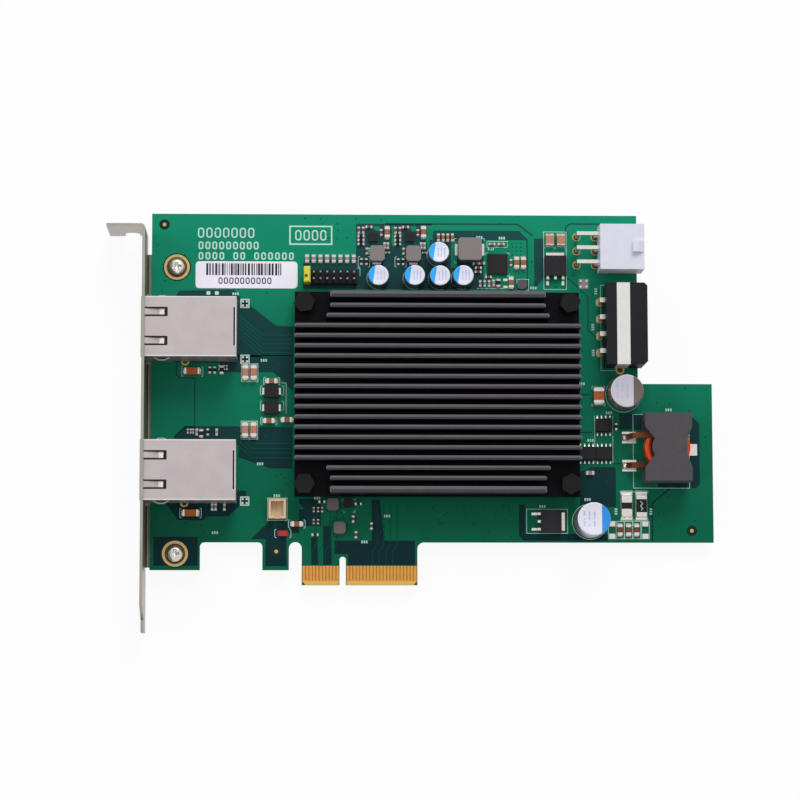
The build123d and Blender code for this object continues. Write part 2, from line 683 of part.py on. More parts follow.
def port_shield(y):
    """A folded metal shell, open at the front and below, with spring fingers and tabs."""
    half = PORT_WIDTH / 2
    back = PORT_FRONT + PORT_LENGTH
    sheet = SHIELD_SHEET
    shell = block(PORT_FRONT, back, y - half, y + half, SHIELD_FOOT_GAP, PORT_HEIGHT)
    shell -= block(
        PORT_FRONT - sheet, back - sheet, y - half + sheet, y + half - sheet,
        SHIELD_FOOT_GAP - sheet, PORT_HEIGHT - sheet,
    )
    slot_start = PORT_FRONT + PORT_SLOT_START
    top_middle = PORT_HEIGHT - sheet / 2
    for side in (-1, 1):
        centre = y + side * PORT_FINGER_PITCH / 2
        reach = PORT_SLOT_WIDTH / 2
        shell -= block(
            slot_start, slot_start + PORT_SLOT_LENGTH, centre - reach, centre + reach,
            PORT_HEIGHT - 2 * sheet, PORT_HEIGHT + sheet,
        )
        dip = slot_start + PORT_FINGER_LENGTH * PORT_FINGER_DIP_SHARE
        tip = slot_start + PORT_FINGER_LENGTH
        line = [
            (slot_start - sheet, top_middle), (slot_start + sheet, top_middle),
            (dip, top_middle - PORT_FINGER_DROP), (tip, top_middle - PORT_FINGER_DROP / 2),
        ]
        shell += strip_along_x(line, sheet, centre, PORT_FINGER_WIDTH)
        shell += side_finger(y, side)
    for x, tab_y in shield_tab_places(y):
        tab_half = SHIELD_TAB_WIDTH / 2
        shell += block(x - tab_half, x + tab_half, tab_y - sheet / 2, tab_y + sheet / 2, TAIL_END, 2 * sheet)
    return shell


def side_finger(y, side):
    """A spring that bows out of the shield's side, just behind the bracket."""
    wall = y + side * (PORT_WIDTH / 2 - SHIELD_SHEET / 2)
    start = PORT_FRONT + SIDE_FINGER_START
    bow = wall + side * SIDE_FINGER_BOW
    line = [
        (start, wall), (start + SIDE_FINGER_LENGTH * SIDE_FINGER_BOW_START, bow),
        (start + SIDE_FINGER_LENGTH * SIDE_FINGER_BOW_END, bow), (start + SIDE_FINGER_LENGTH, wall),
    ]
    outline = strip_outline(line, SHIELD_SHEET)
    finger = extrude(outline, SIDE_FINGER_WIDTH / 2, both=True)
    return Pos(0, 0, SIDE_FINGER_LEVEL) * finger


def indicator_places(y):
    """The y positions of a port's two indicator windows."""
    return [y - INDICATOR_SPREAD / 2, y + INDICATOR_SPREAD / 2]


def port_housing(y):
    """The plastic body with the plug's stepped cavity, finger slots and two pegs."""
    margin = SHIELD_SHEET + HOUSING_CLEARANCE
    half = PORT_WIDTH / 2 - margin
    front = PORT_FRONT + HOUSING_CLEARANCE
    back = PORT_FRONT + PORT_LENGTH - margin
    top = PORT_HEIGHT - margin
    spare = PLUG_CUT_SPARE
    body = block(front, back, y - half, y + half, 0, top)
    steps = (
        (PLUG_WIDTH, PLUG_FLOOR, PLUG_FLOOR + PLUG_HEIGHT),
        (LATCH_WIDTH, PLUG_FLOOR - LATCH_DEPTH, PLUG_FLOOR + spare),
        (LATCH_KEY_WIDTH, PLUG_FLOOR - LATCH_DEPTH - LATCH_KEY_DEPTH, PLUG_FLOOR),
    )
    for width, low, high in steps:
        body -= block(front - spare, front + PLUG_DEPTH, y - width / 2, y + width / 2, low, high)
    slot_end = PORT_FRONT + PORT_SLOT_START + PORT_SLOT_LENGTH
    for side in (-1, 1):
        centre = y + side * PORT_FINGER_PITCH / 2
        reach = PORT_SLOT_WIDTH / 2
        body -= block(
            front - spare, slot_end, centre - reach, centre + reach, PLUG_FLOOR + spare, top + spare
        )
        peg_y = y + side * PORT_PEG_SPREAD / 2
        body += rod(PORT_PEG_X, peg_y, -PORT_PEG_LENGTH, spare, PORT_PEG_DIAMETER)
    for centre in indicator_places(y):
        body -= indicator_window(centre, HOUSING_CLEARANCE)
    return body


def indicator_window(y, clearance):
    """The light pipe at a port's front, or its pocket with a clearance."""
    front = PORT_FRONT + HOUSING_CLEARANCE
    half = INDICATOR_WIDTH / 2 + clearance
    return block(
        front, front + INDICATOR_DEPTH + clearance, y - half, y + half,
        INDICATOR_LEVEL - clearance, INDICATOR_LEVEL + INDICATOR_HEIGHT + clearance,
    )


def port_indicators():
    """The indicator windows of both ports."""
    ys = indicator_places(PORT_UPPER_Y) + indicator_places(PORT_LOWER_Y)
    return [indicator_window(y, 0) for y in ys]


def port_contacts(y):
    """Eight folded spring wires in the plug's cavity, and the solder tails."""
    wall = PORT_FRONT + HOUSING_CLEARANCE + PLUG_DEPTH
    level = PLUG_FLOOR + PLUG_HEIGHT - PLUG_CONTACT_WIDTH
    fold = wall - PLUG_CONTACT_REACH
    line = [(wall, level), (fold, level), (wall - 2 * PLUG_CONTACT_WIDTH, level - PLUG_CONTACT_DROP)]
    wires = []
    for i in range(PLUG_CONTACTS):
        shift = (i - (PLUG_CONTACTS - 1) / 2) * PLUG_CONTACT_PITCH
        wires.append(strip_along_x(line, PLUG_CONTACT_WIDTH, y + shift, PLUG_CONTACT_WIDTH))
    tails = [
        brick(px, py, TAIL_END, PORT_PIN_SIZE, PORT_PIN_SIZE, -TAIL_END)
        for px, py in port_tail_places(y)
    ]
    return wires + tails


def fin_ends(row):
    """Where a fin starts and ends: the outer rows stop short of the corner screws."""
    from_edge = min(row, FIN_COUNT - 1 - row)
    if from_edge < FIN_CUT_ROWS:
        cut = FIN_CUT
    elif from_edge == FIN_CUT_ROWS:
        cut = FIN_CUT_THIRD
    else:
        cut = 0
    return SINK_LEFT + cut, SINK_RIGHT - cut


def fin_place(row):
    """A fin's place and extra thickness: the two outermost fins are thicker and stand near the edge."""
    if row == 0:
        return SINK_BOTTOM_EDGE + END_FIN_MARGIN, END_FIN_EXTRA
    if row == FIN_COUNT - 1:
        return SINK_TOP_EDGE - END_FIN_MARGIN, END_FIN_EXTRA
    return SINK_Y + (row - (FIN_COUNT - 1) / 2) * FIN_PITCH, 0


def heat_sink():
    """An extruded base with straight tapered fins, cut back at its four corners."""
    sink = block(SINK_LEFT, SINK_RIGHT, SINK_BOTTOM_EDGE, SINK_TOP_EDGE, SINK_STANDOFF, SINK_BASE_TOP)
    fins = []
    for row in range(FIN_COUNT):
        left, right = fin_ends(row)
        y, extra = fin_place(row)
        root = (FIN_THICKNESS + extra) / 2
        tip = (FIN_TIP_THICKNESS + extra) / 2
        section = Polygon(
            (y - root, SINK_BASE_TOP), (y + root, SINK_BASE_TOP), (y + tip, SINK_TOP), (y - tip, SINK_TOP),
            align=None,
        )
        fins.append(Pos(left, 0, 0) * extrude(Plane.YZ * section, right - left))
    sink += fins
    hole = SINK_SCREW_DIAMETER + SCREW_CLEARANCE
    sink -= [rod(x, y, SINK_STANDOFF, SINK_BASE_TOP, hole) for x, y in SINK_SCREW_PLACES]
    return sink


def heat_sink_screws():
    """Four hexagon-headed screws through the base, the spacers and the board."""
    head = extrude(RegularPolygon(SINK_SCREW_HEX / 2, 6, major_radius=False), SINK_SCREW_HEAD)
    shank_end = BOARD_BACK - SINK_NUT_HEIGHT
    screws = []
    for (x, y), turn in zip(SINK_SCREW_PLACES, SINK_SCREW_TURNS):
        shank = rod(x, y, shank_end, SINK_BASE_TOP, SINK_SCREW_DIAMETER)
        screws.append(Pos(x, y, SINK_BASE_TOP) * Rot(0, 0, turn) * head + shank)
    return screws


def heat_sink_nuts():
    """Four hexagon nuts behind the board."""
    flats = RegularPolygon(SINK_NUT_HEX / 2, 6, major_radius=False)
    bore = disc(0, 0, SINK_SCREW_DIAMETER + THREAD_CLEARANCE)
    nut = extrude(flats - bore, -SINK_NUT_HEIGHT)
    return [Pos(x, y, BOARD_BACK) * nut for x, y in SINK_SCREW_PLACES]


def heat_sink_spacers():
    """Four hexagon spacers between the board and the sink's base."""
    flats = RegularPolygon(SPACER_HEX / 2, 6, major_radius=False)
    tube = extrude(flats - disc(0, 0, SINK_SCREW_DIAMETER + SCREW_CLEARANCE), SINK_STANDOFF)
    return [Pos(x, y, 0) * tube for x, y in SINK_SCREW_PLACES]


def controller_chip():
    """The square controller below the sink: a substrate with a moulded lid."""
    lid = CHIP_SIDE - 2 * CHIP_LID_INSET
    chip = brick(SINK_X, SINK_Y, 0, CHIP_SIDE, CHIP_SIDE, CHIP_SUBSTRATE)
    return chip + brick(SINK_X, SINK_Y, CHIP_SUBSTRATE, lid, lid, CHIP_HEIGHT - CHIP_SUBSTRATE)


def thermal_pad():
    """The soft pad that fills the gap between the controller and the sink."""
    side = CHIP_SIDE - 2 * PAD_INSET
    return brick(SINK_X, SINK_Y, CHIP_HEIGHT, side, side, SINK_STANDOFF - CHIP_HEIGHT)


def header_strip():
    """The header's plastic strip with its pin holes."""
    left = HEADER_LEFT_PIN - HEADER_PITCH / 2
    right = left + HEADER_COLUMNS * HEADER_PITCH
    bottom = HEADER_LOWER_ROW - HEADER_PITCH / 2
    top = bottom + HEADER_ROWS * HEADER_PITCH
    face = flat_rectangle(left, right, bottom, top)
    face -= [Pos(x, y) * Rectangle(HEADER_PIN_SIZE, HEADER_PIN_SIZE) for x, y in HEADER_PIN_PLACES]
    return extrude(face, HEADER_STRIP_HEIGHT)


def header_pins():
    """Sixteen square posts through the strip and the board."""
    height = HEADER_PIN_TOP - TAIL_END
    return [brick(x, y, TAIL_END, HEADER_PIN_SIZE, HEADER_PIN_SIZE, height) for x, y in HEADER_PIN_PLACES]


def jumper_cap():
    """The slip-on jumper over the first pin column."""
    middle = HEADER_LOWER_ROW + HEADER_PITCH / 2
    height = JUMPER_TOP - HEADER_STRIP_HEIGHT
    cap = brick(HEADER_LEFT_PIN, middle, HEADER_STRIP_HEIGHT, JUMPER_WIDTH, JUMPER_LENGTH, height)
    cap = chamfer(cap.faces().sort_by(Axis.Z)[-1].edges(), JUMPER_BEVEL)
    side = HEADER_PIN_SIZE + 2 * JUMPER_PIN_GAP
    depth = HEADER_PIN_TOP + JUMPER_PIN_GAP - HEADER_STRIP_HEIGHT
    for row in range(HEADER_ROWS):
        y = HEADER_LOWER_ROW + row * HEADER_PITCH
        cap -= brick(HEADER_LEFT_PIN, y, HEADER_STRIP_HEIGHT, side, side, depth)
    return cap


def inlet_six_housing():
    """The white shroud with six cells, every second one keyed, and a latch on top."""
    half = INLET_SIX_LENGTH / 2
    body = block(
        INLET_SIX_LEFT, INLET_SIX_RIGHT, INLET_SIX_Y - half, INLET_SIX_Y + half,
        INLET_SIX_FLOOR, INLET_SIX_TOP,
    )
    cell = Rectangle(INLET_SIX_CELL, INLET_SIX_CELL)
    keyed = chamfer(cell.vertices().sort_by(Axis.Y)[:2], INLET_SIX_KEY)
    depth = INLET_SIX_RIGHT - INLET_SIX_LEFT - INLET_SIX_BACK_WALL
    start = INLET_SIX_LEFT + INLET_SIX_BACK_WALL
    pin_hole = INLET_SIX_PIN
    for column, y in enumerate(INLET_SIX_YS):
        for row, level in enumerate(INLET_SIX_LEVELS):
            outline = keyed if (column + row) % 2 else cell
            body -= Pos(start, y, level) * extrude(Plane.YZ * outline, depth)
            pin_passage = Box(INLET_SIX_BACK_WALL, pin_hole, pin_hole)
            body -= Pos((INLET_SIX_LEFT + start) / 2, y, level) * pin_passage
    ramp = Polygon(
        (INLET_SIX_RIGHT, INLET_SIX_TOP),
        (INLET_SIX_RIGHT - INLET_SIX_LATCH_LENGTH, INLET_SIX_TOP),
        (INLET_SIX_RIGHT - INLET_SIX_LATCH_LENGTH, INLET_SIX_TOP + INLET_SIX_LATCH_HEIGHT),
        (INLET_SIX_RIGHT - INLET_SIX_LATCH_LENGTH / 2, INLET_SIX_TOP + INLET_SIX_LATCH_HEIGHT),
        align=None,
    )
    latch = extrude(Plane.XZ * ramp, INLET_SIX_LATCH_WIDTH / 2, both=True)
    return body + Pos(0, INLET_SIX_Y, 0) * latch


def inlet_six_pins():
    """Six square pins, bent down behind the shroud in two rows."""
    tip = INLET_SIX_RIGHT - INLET_SIX_PIN_INSET
    pins = []
    for y in INLET_SIX_YS:
        for row, level in enumerate(INLET_SIX_LEVELS):
            tail = INLET_SIX_FIRST_ROW - row * INLET_SIX_ROW_GAP
            line = [(tip, level), (tail, level), (tail, TAIL_END)]
            pins.append(strip_along_x(line, INLET_SIX_PIN, y, INLET_SIX_PIN))
    return pins


def inlet_four_housing():
    """The black shroud with its keyed mouth and the collar's channel round it."""
    half = INLET_FOUR_LENGTH / 2
    section = flat_rectangle(INLET_FOUR_Y - half, INLET_FOUR_Y + half, 0, INLET_FOUR_TOP)
    upper = section.vertices().sort_by(Axis.Y)[-2:]
    body = extrude(Plane.YZ * section, INLET_FOUR_RIGHT - INLET_FOUR_LEFT)
    body = Pos(INLET_FOUR_LEFT, 0, 0) * body
    front = [(INLET_FOUR_RIGHT, vertex.X, INLET_FOUR_TOP / 2) for vertex in upper]
    body = chamfer(edges_near(body, Axis.Z, front), INLET_FOUR_CORNER / 2)
    mouth = Rectangle(INLET_FOUR_OPEN_LENGTH, INLET_FOUR_OPEN_HEIGHT)
    mouth = chamfer(mouth.vertices().sort_by(Axis.Y)[:2], INLET_FOUR_OPEN_CORNER)
    start = INLET_FOUR_RIGHT - INLET_FOUR_DEPTH
    body -= Pos(start, INLET_FOUR_Y, INLET_FOUR_LEVEL) * extrude(Plane.YZ * mouth, INLET_FOUR_DEPTH)
    wall = start - INLET_FOUR_LEFT
    for y in INLET_FOUR_YS:
        hole = Box(wall, INLET_FOUR_TAIL, INLET_FOUR_TAIL)
        body -= Pos(INLET_FOUR_LEFT + wall / 2, y, INLET_FOUR_LEVEL) * hole
    return body - collar_form(COLLAR_WIDTH)


def collar_form(leg_width):
    """The collar's bent strap: over the shroud's top and down both its ends."""
    low, high = collar_leg_ys()
    top = INLET_FOUR_TOP - COLLAR_THICKNESS / 2
    line = [(low, 0), (low, top), (high, top), (high, 0)]
    strap = strip_along_y(line, COLLAR_THICKNESS, COLLAR_X, COLLAR_WIDTH)
    if leg_width == COLLAR_WIDTH:
        return strap
    for y in (low, high):
        strap += brick(COLLAR_X, y, TAIL_END, leg_width, COLLAR_THICKNESS, -TAIL_END)
    return strap


def inlet_four_pins():
    """Four round pins in the mouth, each on a square tail bent down into the board."""
    pins = []
    start = INLET_FOUR_RIGHT - INLET_FOUR_DEPTH
    length = INLET_FOUR_DEPTH - INLET_FOUR_PIN_INSET
    pin = extrude(Plane.YZ * disc(0, 0, INLET_FOUR_PIN_DIAMETER), length)
    for y in INLET_FOUR_YS:
        corner = (INLET_FOUR_TAIL_X, INLET_FOUR_LEVEL)
        line = [(start, INLET_FOUR_LEVEL), corner, (INLET_FOUR_TAIL_X, TAIL_END)]
        tail = strip_along_x(line, INLET_FOUR_TAIL, y, INLET_FOUR_TAIL)
        pins.append(tail + Pos(start, y, INLET_FOUR_LEVEL) * pin)
    return pins


def core_plate_face():
    """The core's plate: a rectangle with a sloped waist on each long side, deeper on the leads' side."""
    right = CORE_WIDTH / 2
    top = CORE_LENGTH / 2
    waist = CORE_WAIST_LENGTH / 2
    flat = CORE_WAIST_FLAT / 2
    inner_left = CORE_LEFT_WAIST - right
    inner_right = right - CORE_RIGHT_WAIST
    corners = [
        (-right, top), (-right, waist), (inner_left, flat), (inner_left, -flat), (-right, -waist), (-right, -top),
        (right, -top), (right, -waist), (inner_right, -flat), (inner_right, flat), (right, waist), (right, top),
    ]
    return Polygon(*corners, align=None)


def power_inductor_core():
    """Two waisted ferrite plates joined by a round post and a leg at each end."""
    face = core_plate_face()
    top_level = CORE_HEIGHT - CORE_PLATE
    core = Pos(0, 0, CORE_BOTTOM) * extrude(face, CORE_PLATE)
    core += Pos(0, 0, top_level) * extrude(face, CORE_PLATE)
    post = extrude(RegularPolygon(CORE_POST_DIAMETER / 2, COIL_SIDES), CORE_HEIGHT - CORE_BOTTOM)
    core += Pos(0, 0, CORE_BOTTOM) * post
    for side in (-1, 1):
        y = side * (CORE_LENGTH - CORE_LEG) / 2
        core += brick(0, y, CORE_BOTTOM, CORE_WIDTH, CORE_LEG, CORE_HEIGHT - CORE_BOTTOM)
    return Pos(COIL_X, COIL_Y, 0) * core


def power_inductor_winding():
    """The edge-wound copper coil, with its two flat ends led down to their lands."""
    low = CORE_BOTTOM + CORE_PLATE + COIL_GAP
    high = CORE_HEIGHT - CORE_PLATE - COIL_GAP
    outer = RegularPolygon(COIL_DIAMETER / 2, COIL_SIDES)
    inner = RegularPolygon(COIL_DIAMETER / 2 - COIL_WIRE_WIDTH, COIL_SIDES)
    coil = Pos(COIL_X, COIL_Y, low) * extrude(outer - inner, high - low)
    wire_radius = (COIL_DIAMETER - COIL_WIRE_WIDTH) / 2
    for y, level in ((COIL_LEAD_Y_UPPER, high), (COIL_LEAD_Y_LOWER, low + COIL_LEAD_THICKNESS)):
        middle = COIL_X - (wire_radius ** 2 - (y - COIL_Y) ** 2) ** 0.5
        run = level - COIL_LEAD_THICKNESS / 2
        foot = LAND_THICKNESS + COIL_LEAD_THICKNESS / 2
        line = [
            (middle, run), (LAND_LEFT_X, run),
            (LAND_LEFT_X - LAND_LENGTH / 4, foot), (LAND_LEFT_X - LAND_LENGTH / 2, foot),
        ]
        coil += strip_along_x(line, COIL_LEAD_THICKNESS, y, COIL_LEAD_WIDTH)
    return coil


def power_inductor_lands():
    """The soldered lands below the inductor's terminals."""
    lands = [
        brick(LAND_LEFT_X, y, 0, LAND_LENGTH, LAND_WIDTH, LAND_THICKNESS)
        for y in (COIL_LEAD_Y_UPPER, COIL_LEAD_Y_LOWER)
    ]
    inner = COIL_X + CORE_WIDTH / 2 - LAND_WIDTH
    outer = LAND_RIGHT_X + LAND_RIGHT_LENGTH / 2
    half = LAND_WIDTH / 2
    lands.append(block(inner, outer, COIL_Y - half, COIL_Y + half, 0, LAND_THICKNESS))
    return lands


def can(place, low, height, diameter, top_cut):
    """A drawn can from the level low up to its height, with its top edge drawn in."""
    x, y = place
    radius = diameter / 2
    profile = Polygon(
        (0, low), (radius, low), (radius, height - top_cut), (radius - top_cut, height), (0, height),
        align=None,
    )
    return Pos(x, y, 0) * revolve(Plane.XZ * profile, Axis.Z)


def small_can(place):
    """A small drawn can that stands on the board."""
    x, y = place
    return Pos(x, y, SMALL_CAN_HEIGHT / 2) * Cylinder(SMALL_CAN_DIAMETER / 2, SMALL_CAN_HEIGHT)


def bung(place):
    """The rubber bung below a large can, with its two leads through the board."""
    x, y = place
    base = rod(x, y, 0, BUNG_HEIGHT, CAN_DIAMETER - 2 * BUNG_INSET)
    for px, py in lead_pair(place, CAN_LEAD_PITCH):
        base += brick(px, py, TAIL_END, CAN_LEAD_SIZE, CAN_LEAD_SIZE, -TAIL_END)
    return base


def capacitor_cans():
    """The seven upright cans: two large ones on their bungs and five small ones."""
    cans = [
        can(CAN_UPPER, BUNG_HEIGHT, CAN_UPPER_HEIGHT, CAN_DIAMETER, CAN_TOP_ROUND),
        can(CAN_LOWER, BUNG_HEIGHT, CAN_LOWER_HEIGHT, CAN_DIAMETER, CAN_TOP_ROUND),
    ]
    return cans + [small_can(place) for place in SMALL_CAN_PLACES]


def moulded_inductor(place, size):
    """A pressed powder block with cut corners."""
    body = brick(*place, 0, *size)
    return chamfer(body.edges().filter_by(Axis.Z), INDUCTOR_CORNER)


def power_transistor(place, turn):
    """A tabbed transistor: its moulded body, and its slug with three leads as one frame."""
    front = TRANSISTOR_LENGTH / 2
    slug = TRANSISTOR_SLUG
    body = brick(0, 0, 0, TRANSISTOR_WIDTH, TRANSISTOR_LENGTH, TRANSISTOR_HEIGHT)
    pocket = block(
        -TRANSISTOR_TAB_WIDTH / 2, TRANSISTOR_TAB_WIDTH / 2, 0, front, 0, slug,
    )
    tab = block(
        -TRANSISTOR_TAB_WIDTH / 2, TRANSISTOR_TAB_WIDTH / 2, 0, front + TRANSISTOR_TAB, 0, slug,
    )
    level = TRANSISTOR_LEAD_LEVEL
    reach = TRANSISTOR_LEAD_LENGTH
    half = slug / 2
    line = [
        (-front, level), (-front - reach * TRANSISTOR_LEAD_SHOULDER, level),
        (-front - reach * TRANSISTOR_LEAD_KNEE, half), (-front - reach, half),
    ]
    metal = [tab]
    for side in (-1, 1):
        lead = strip_along_y(line, slug, side * TRANSISTOR_LEAD_PITCH, TRANSISTOR_LEAD_WIDTH)
        metal.append(lead)
    stub = reach * TRANSISTOR_STUB_SHARE
    metal.append(block(
        -TRANSISTOR_LEAD_WIDTH / 2, TRANSISTOR_LEAD_WIDTH / 2, -front - stub, -front,
        level - half, level + half,
    ))
    seat = Pos(*place, 0) * Rot(0, 0, turn)
    return seat * (body - pocket), [seat * piece for piece in metal]


def driver_chip(place):
    """An eight-leaded chip: the bevelled body and its gull-wing leads."""
    x, y = place
    height = DRIVER_HEIGHT - DRIVER_BOTTOM
    body = brick(x, y, DRIVER_BOTTOM, DRIVER_LENGTH, DRIVER_WIDTH, height)
    long_edges = body.faces().sort_by(Axis.Z)[-1].edges().filter_by(Axis.X)
    body = chamfer(long_edges, DRIVER_CHAMFER)
    edge = DRIVER_WIDTH / 2
    toe = DRIVER_SPAN / 2
    half = DRIVER_LEAD_THICKNESS / 2
    leads = []
    for side in (-1, 1):
        line = [
            (y + side * (edge + half), DRIVER_LEAD_LEVEL),
            (y + side * (toe - DRIVER_LEAD_FOOT), half), (y + side * toe, half),
        ]
        for i in range(DRIVER_LEADS_PER_SIDE):
            shift = (i - (DRIVER_LEADS_PER_SIDE - 1) / 2) * DRIVER_LEAD_PITCH
            leads.append(strip_along_y(line, DRIVER_LEAD_THICKNESS, x + shift, DRIVER_LEAD_WIDTH))
    return body, leads


def clamp_diode(place):
    """A two-leaded block: its body and the flat leads folded down at each end."""
    x, y = place
    body = brick(x, y, 0, CLAMP_LENGTH, CLAMP_WIDTH, CLAMP_HEIGHT)
    half = CLAMP_LEAD_THICKNESS / 2
    leads = []
    for side in (-1, 1):
        end = x + side * CLAMP_LENGTH / 2
        bend = end + side * (CLAMP_LEAD_REACH - half)
        line = [(end, CLAMP_LEAD_LEVEL), (bend, CLAMP_LEAD_LEVEL), (bend, 0)]
        leads.append(strip_along_x(line, CLAMP_LEAD_THICKNESS, y, CLAMP_LEAD_WIDTH))
    return body, leads


def chip_part(place, case, direction):
    """A two-terminal chip part, sintered in one piece with its end caps."""
    return Pos(*place, 0) * Rot(0, 0, direction) * brick(0, 0, 0, *case)


def chip_parts(groups):
    """The chip parts of several groups, each of one case and one direction."""
    return [chip_part(place, case, direction) for case, direction, places in groups for place in places]


def wafer_connector():
    """The ivory two-way connector: an open-topped box with a slot in one side."""
    x, y = WAFER_PLACE
    length, width, height = WAFER_SIZE
    body = brick(x, y, 0, length, width, height)
    body -= brick(x, y, WAFER_FLOOR, length - 2 * WAFER_WALL, width - 2 * WAFER_WALL, height)
    return body - brick(x, y - width / 2, WAFER_FLOOR, length * WAFER_KEY_SHARE, 2 * WAFER_WALL, height)


def status_light():
    """The red indicator: a lens on a flat base."""
    x, y = LIGHT_PLACE
    length, width, height = LIGHT_SIZE
    light = brick(x, y, 0, length, width, LIGHT_BASE)
    lens = brick(x, y, LIGHT_BASE, length * LIGHT_LENS_SHARE, width, height - LIGHT_BASE)
    return light + lens


def label():
    """The paper label."""
    return brick(LABEL_X, LABEL_Y, 0, LABEL_LENGTH, LABEL_HEIGHT, LABEL_THICKNESS)


def build():
    """Write every sub-part to its own file."""
    os.makedirs("parts", exist_ok=True)
    save("circuit_board", circuit_board())
    save("edge_contacts_front", edge_contacts(0))
    save("edge_contacts_back", edge_contacts(BOARD_BACK - CONTACT_THICKNESS))
    save("bracket", bracket())
    save("bracket_screws", bracket_screws())
    for name, y in (("upper", PORT_UPPER_Y), ("lower", PORT_LOWER_Y)):
        save(f"port_shield_{name}", port_shield(y))
        save(f"port_housing_{name}", port_housing(y))
        save(f"port_contacts_{name}", port_contacts(y))
    save("port_indicators", port_indicators())
    save("heat_sink", heat_sink())
    save("heat_sink_screws", heat_sink_screws())
    save("heat_sink_nuts", heat_sink_nuts())
    save("heat_sink_spacers", heat_sink_spacers())
    save("controller_chip", controller_chip())
    save("thermal_pad", thermal_pad())
    save("header_strip", header_strip())
    save("header_pins", header_pins())
    save("jumper_cap", jumper_cap())
    save("inlet_six_housing", inlet_six_housing())
    save("inlet_six_pins", inlet_six_pins())
    save("inlet_four_housing", inlet_four_housing())
    save("inlet_four_collar", collar_form(COLLAR_LEG_WIDTH))
    save("inlet_four_pins", inlet_four_pins())
    save("power_inductor_core", power_inductor_core())
    save("power_inductor_winding", power_inductor_winding())
    save("power_inductor_lands", power_inductor_lands())
    save("capacitor_cans", capacitor_cans())
    save("capacitor_bungs", [bung(CAN_UPPER), bung(CAN_LOWER)])
    small = [moulded_inductor(place, SMALL_INDUCTOR_SIZE) for place in SMALL_INDUCTOR_PLACES]
    save("small_inductors", small)
    save("medium_inductor", moulded_inductor(MEDIUM_INDUCTOR_PLACE, MEDIUM_INDUCTOR_SIZE))
    save("flat_inductors", [moulded_inductor(place, FLAT_INDUCTOR_SIZE) for place in FLAT_INDUCTOR_PLACES])
    save("round_inductor", rod(*ROUND_INDUCTOR_PLACE, 0, ROUND_INDUCTOR_HEIGHT, ROUND_INDUCTOR_DIAMETER))
    save("leadless_chips", [brick(x, y, 0, side, side, LEADLESS_HEIGHT) for x, y, side in LEADLESS_PLACES])
    upper_body, upper_metal = power_transistor(TRANSISTOR_UPPER, 0)
    lower_body, lower_metal = power_transistor(TRANSISTOR_LOWER, -90)
    save("transistor_bodies", [upper_body, lower_body])
    save("transistor_leads", upper_metal + lower_metal)
    drivers = [driver_chip(place) for place in DRIVER_PLACES]
    save("driver_chip_bodies", [body for body, leads in drivers])
    save("driver_chip_leads", [lead for body, leads in drivers for lead in leads])
    clamps = [clamp_diode(place) for place in CLAMP_PLACES]
    save("clamp_diode_bodies", [body for body, leads in clamps])
    save("clamp_diode_leads", [lead for body, leads in clamps for lead in leads])
    header_row = [(HEADER_LEFT_PIN + i * HEADER_PITCH, HEADER_ROW_Y) for i in range(HEADER_ROW_COUNT)]
    save("chip_capacitors", chip_parts(CAPACITORS))
    save("chip_resistors", chip_parts(RESISTORS + [(CASE_0805, ALONG_Y, header_row)]))
    save("shunt_resistor", chip_part(SHUNT_PLACE, CASE_2512, ALONG_Y))
    save("fuse", chip_part(FUSE_PLACE, CASE_2512, ALONG_Y))
    save("wafer_connector", wafer_connector())
    save("status_light", status_light())
    save("label", label())


build()
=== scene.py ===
# %% [markdown]
# # A network card, dressed for its portrait
#
# The card's solid parts come from a CAD program. This lesson adds what a CAD
# model leaves out: finishes, printing, solder, the small chips and the wound
# copper coil. All lengths below are written in millimetres and turned into
# metres only when a mesh is made.

import json
import math

import bpy
import numpy as np
from mathutils import Matrix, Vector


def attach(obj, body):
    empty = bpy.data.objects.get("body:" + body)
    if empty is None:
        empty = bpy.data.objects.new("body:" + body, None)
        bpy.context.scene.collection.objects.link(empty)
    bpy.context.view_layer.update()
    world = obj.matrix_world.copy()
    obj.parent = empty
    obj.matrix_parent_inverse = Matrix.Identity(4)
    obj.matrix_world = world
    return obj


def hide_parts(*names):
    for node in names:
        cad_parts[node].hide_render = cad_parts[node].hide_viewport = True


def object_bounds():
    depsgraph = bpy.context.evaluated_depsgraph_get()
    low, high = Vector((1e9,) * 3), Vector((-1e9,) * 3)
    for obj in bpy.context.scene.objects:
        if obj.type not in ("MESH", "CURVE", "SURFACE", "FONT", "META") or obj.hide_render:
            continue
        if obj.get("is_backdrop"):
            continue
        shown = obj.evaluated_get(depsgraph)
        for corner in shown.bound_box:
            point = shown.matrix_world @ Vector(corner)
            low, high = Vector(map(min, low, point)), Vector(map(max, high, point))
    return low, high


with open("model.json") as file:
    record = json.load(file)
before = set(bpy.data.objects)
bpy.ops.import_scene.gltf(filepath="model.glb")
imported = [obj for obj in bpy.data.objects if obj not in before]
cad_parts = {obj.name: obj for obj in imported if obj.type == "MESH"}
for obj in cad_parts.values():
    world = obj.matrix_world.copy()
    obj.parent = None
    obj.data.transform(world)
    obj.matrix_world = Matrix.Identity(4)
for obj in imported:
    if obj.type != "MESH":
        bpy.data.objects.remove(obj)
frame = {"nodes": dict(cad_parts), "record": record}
cad_low, cad_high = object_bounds()
MM = 0.001
extent = [round((b - a) / MM, 1) for a, b in zip(cad_low, cad_high)]
print("solid parts:", len(frame["nodes"]), "size in mm:", extent)

# %% [markdown]
# ## The camera
#
# The picture was taken almost straight down from nearly a metre away. The place
# and the tilt were worked out from the card's known sizes. A camera matrix has
# the directions right, up and back as its columns.

# %% Camera
EYE = np.array([-13.3, -40.2, 869.0])
YAW, PITCH, ROLL = math.radians(2.00), math.radians(-6.26), math.radians(0.07)
FOCAL_PIXELS, PICTURE_PIXELS = 2932.0, 800.0
SENSOR_WIDTH = 36.0


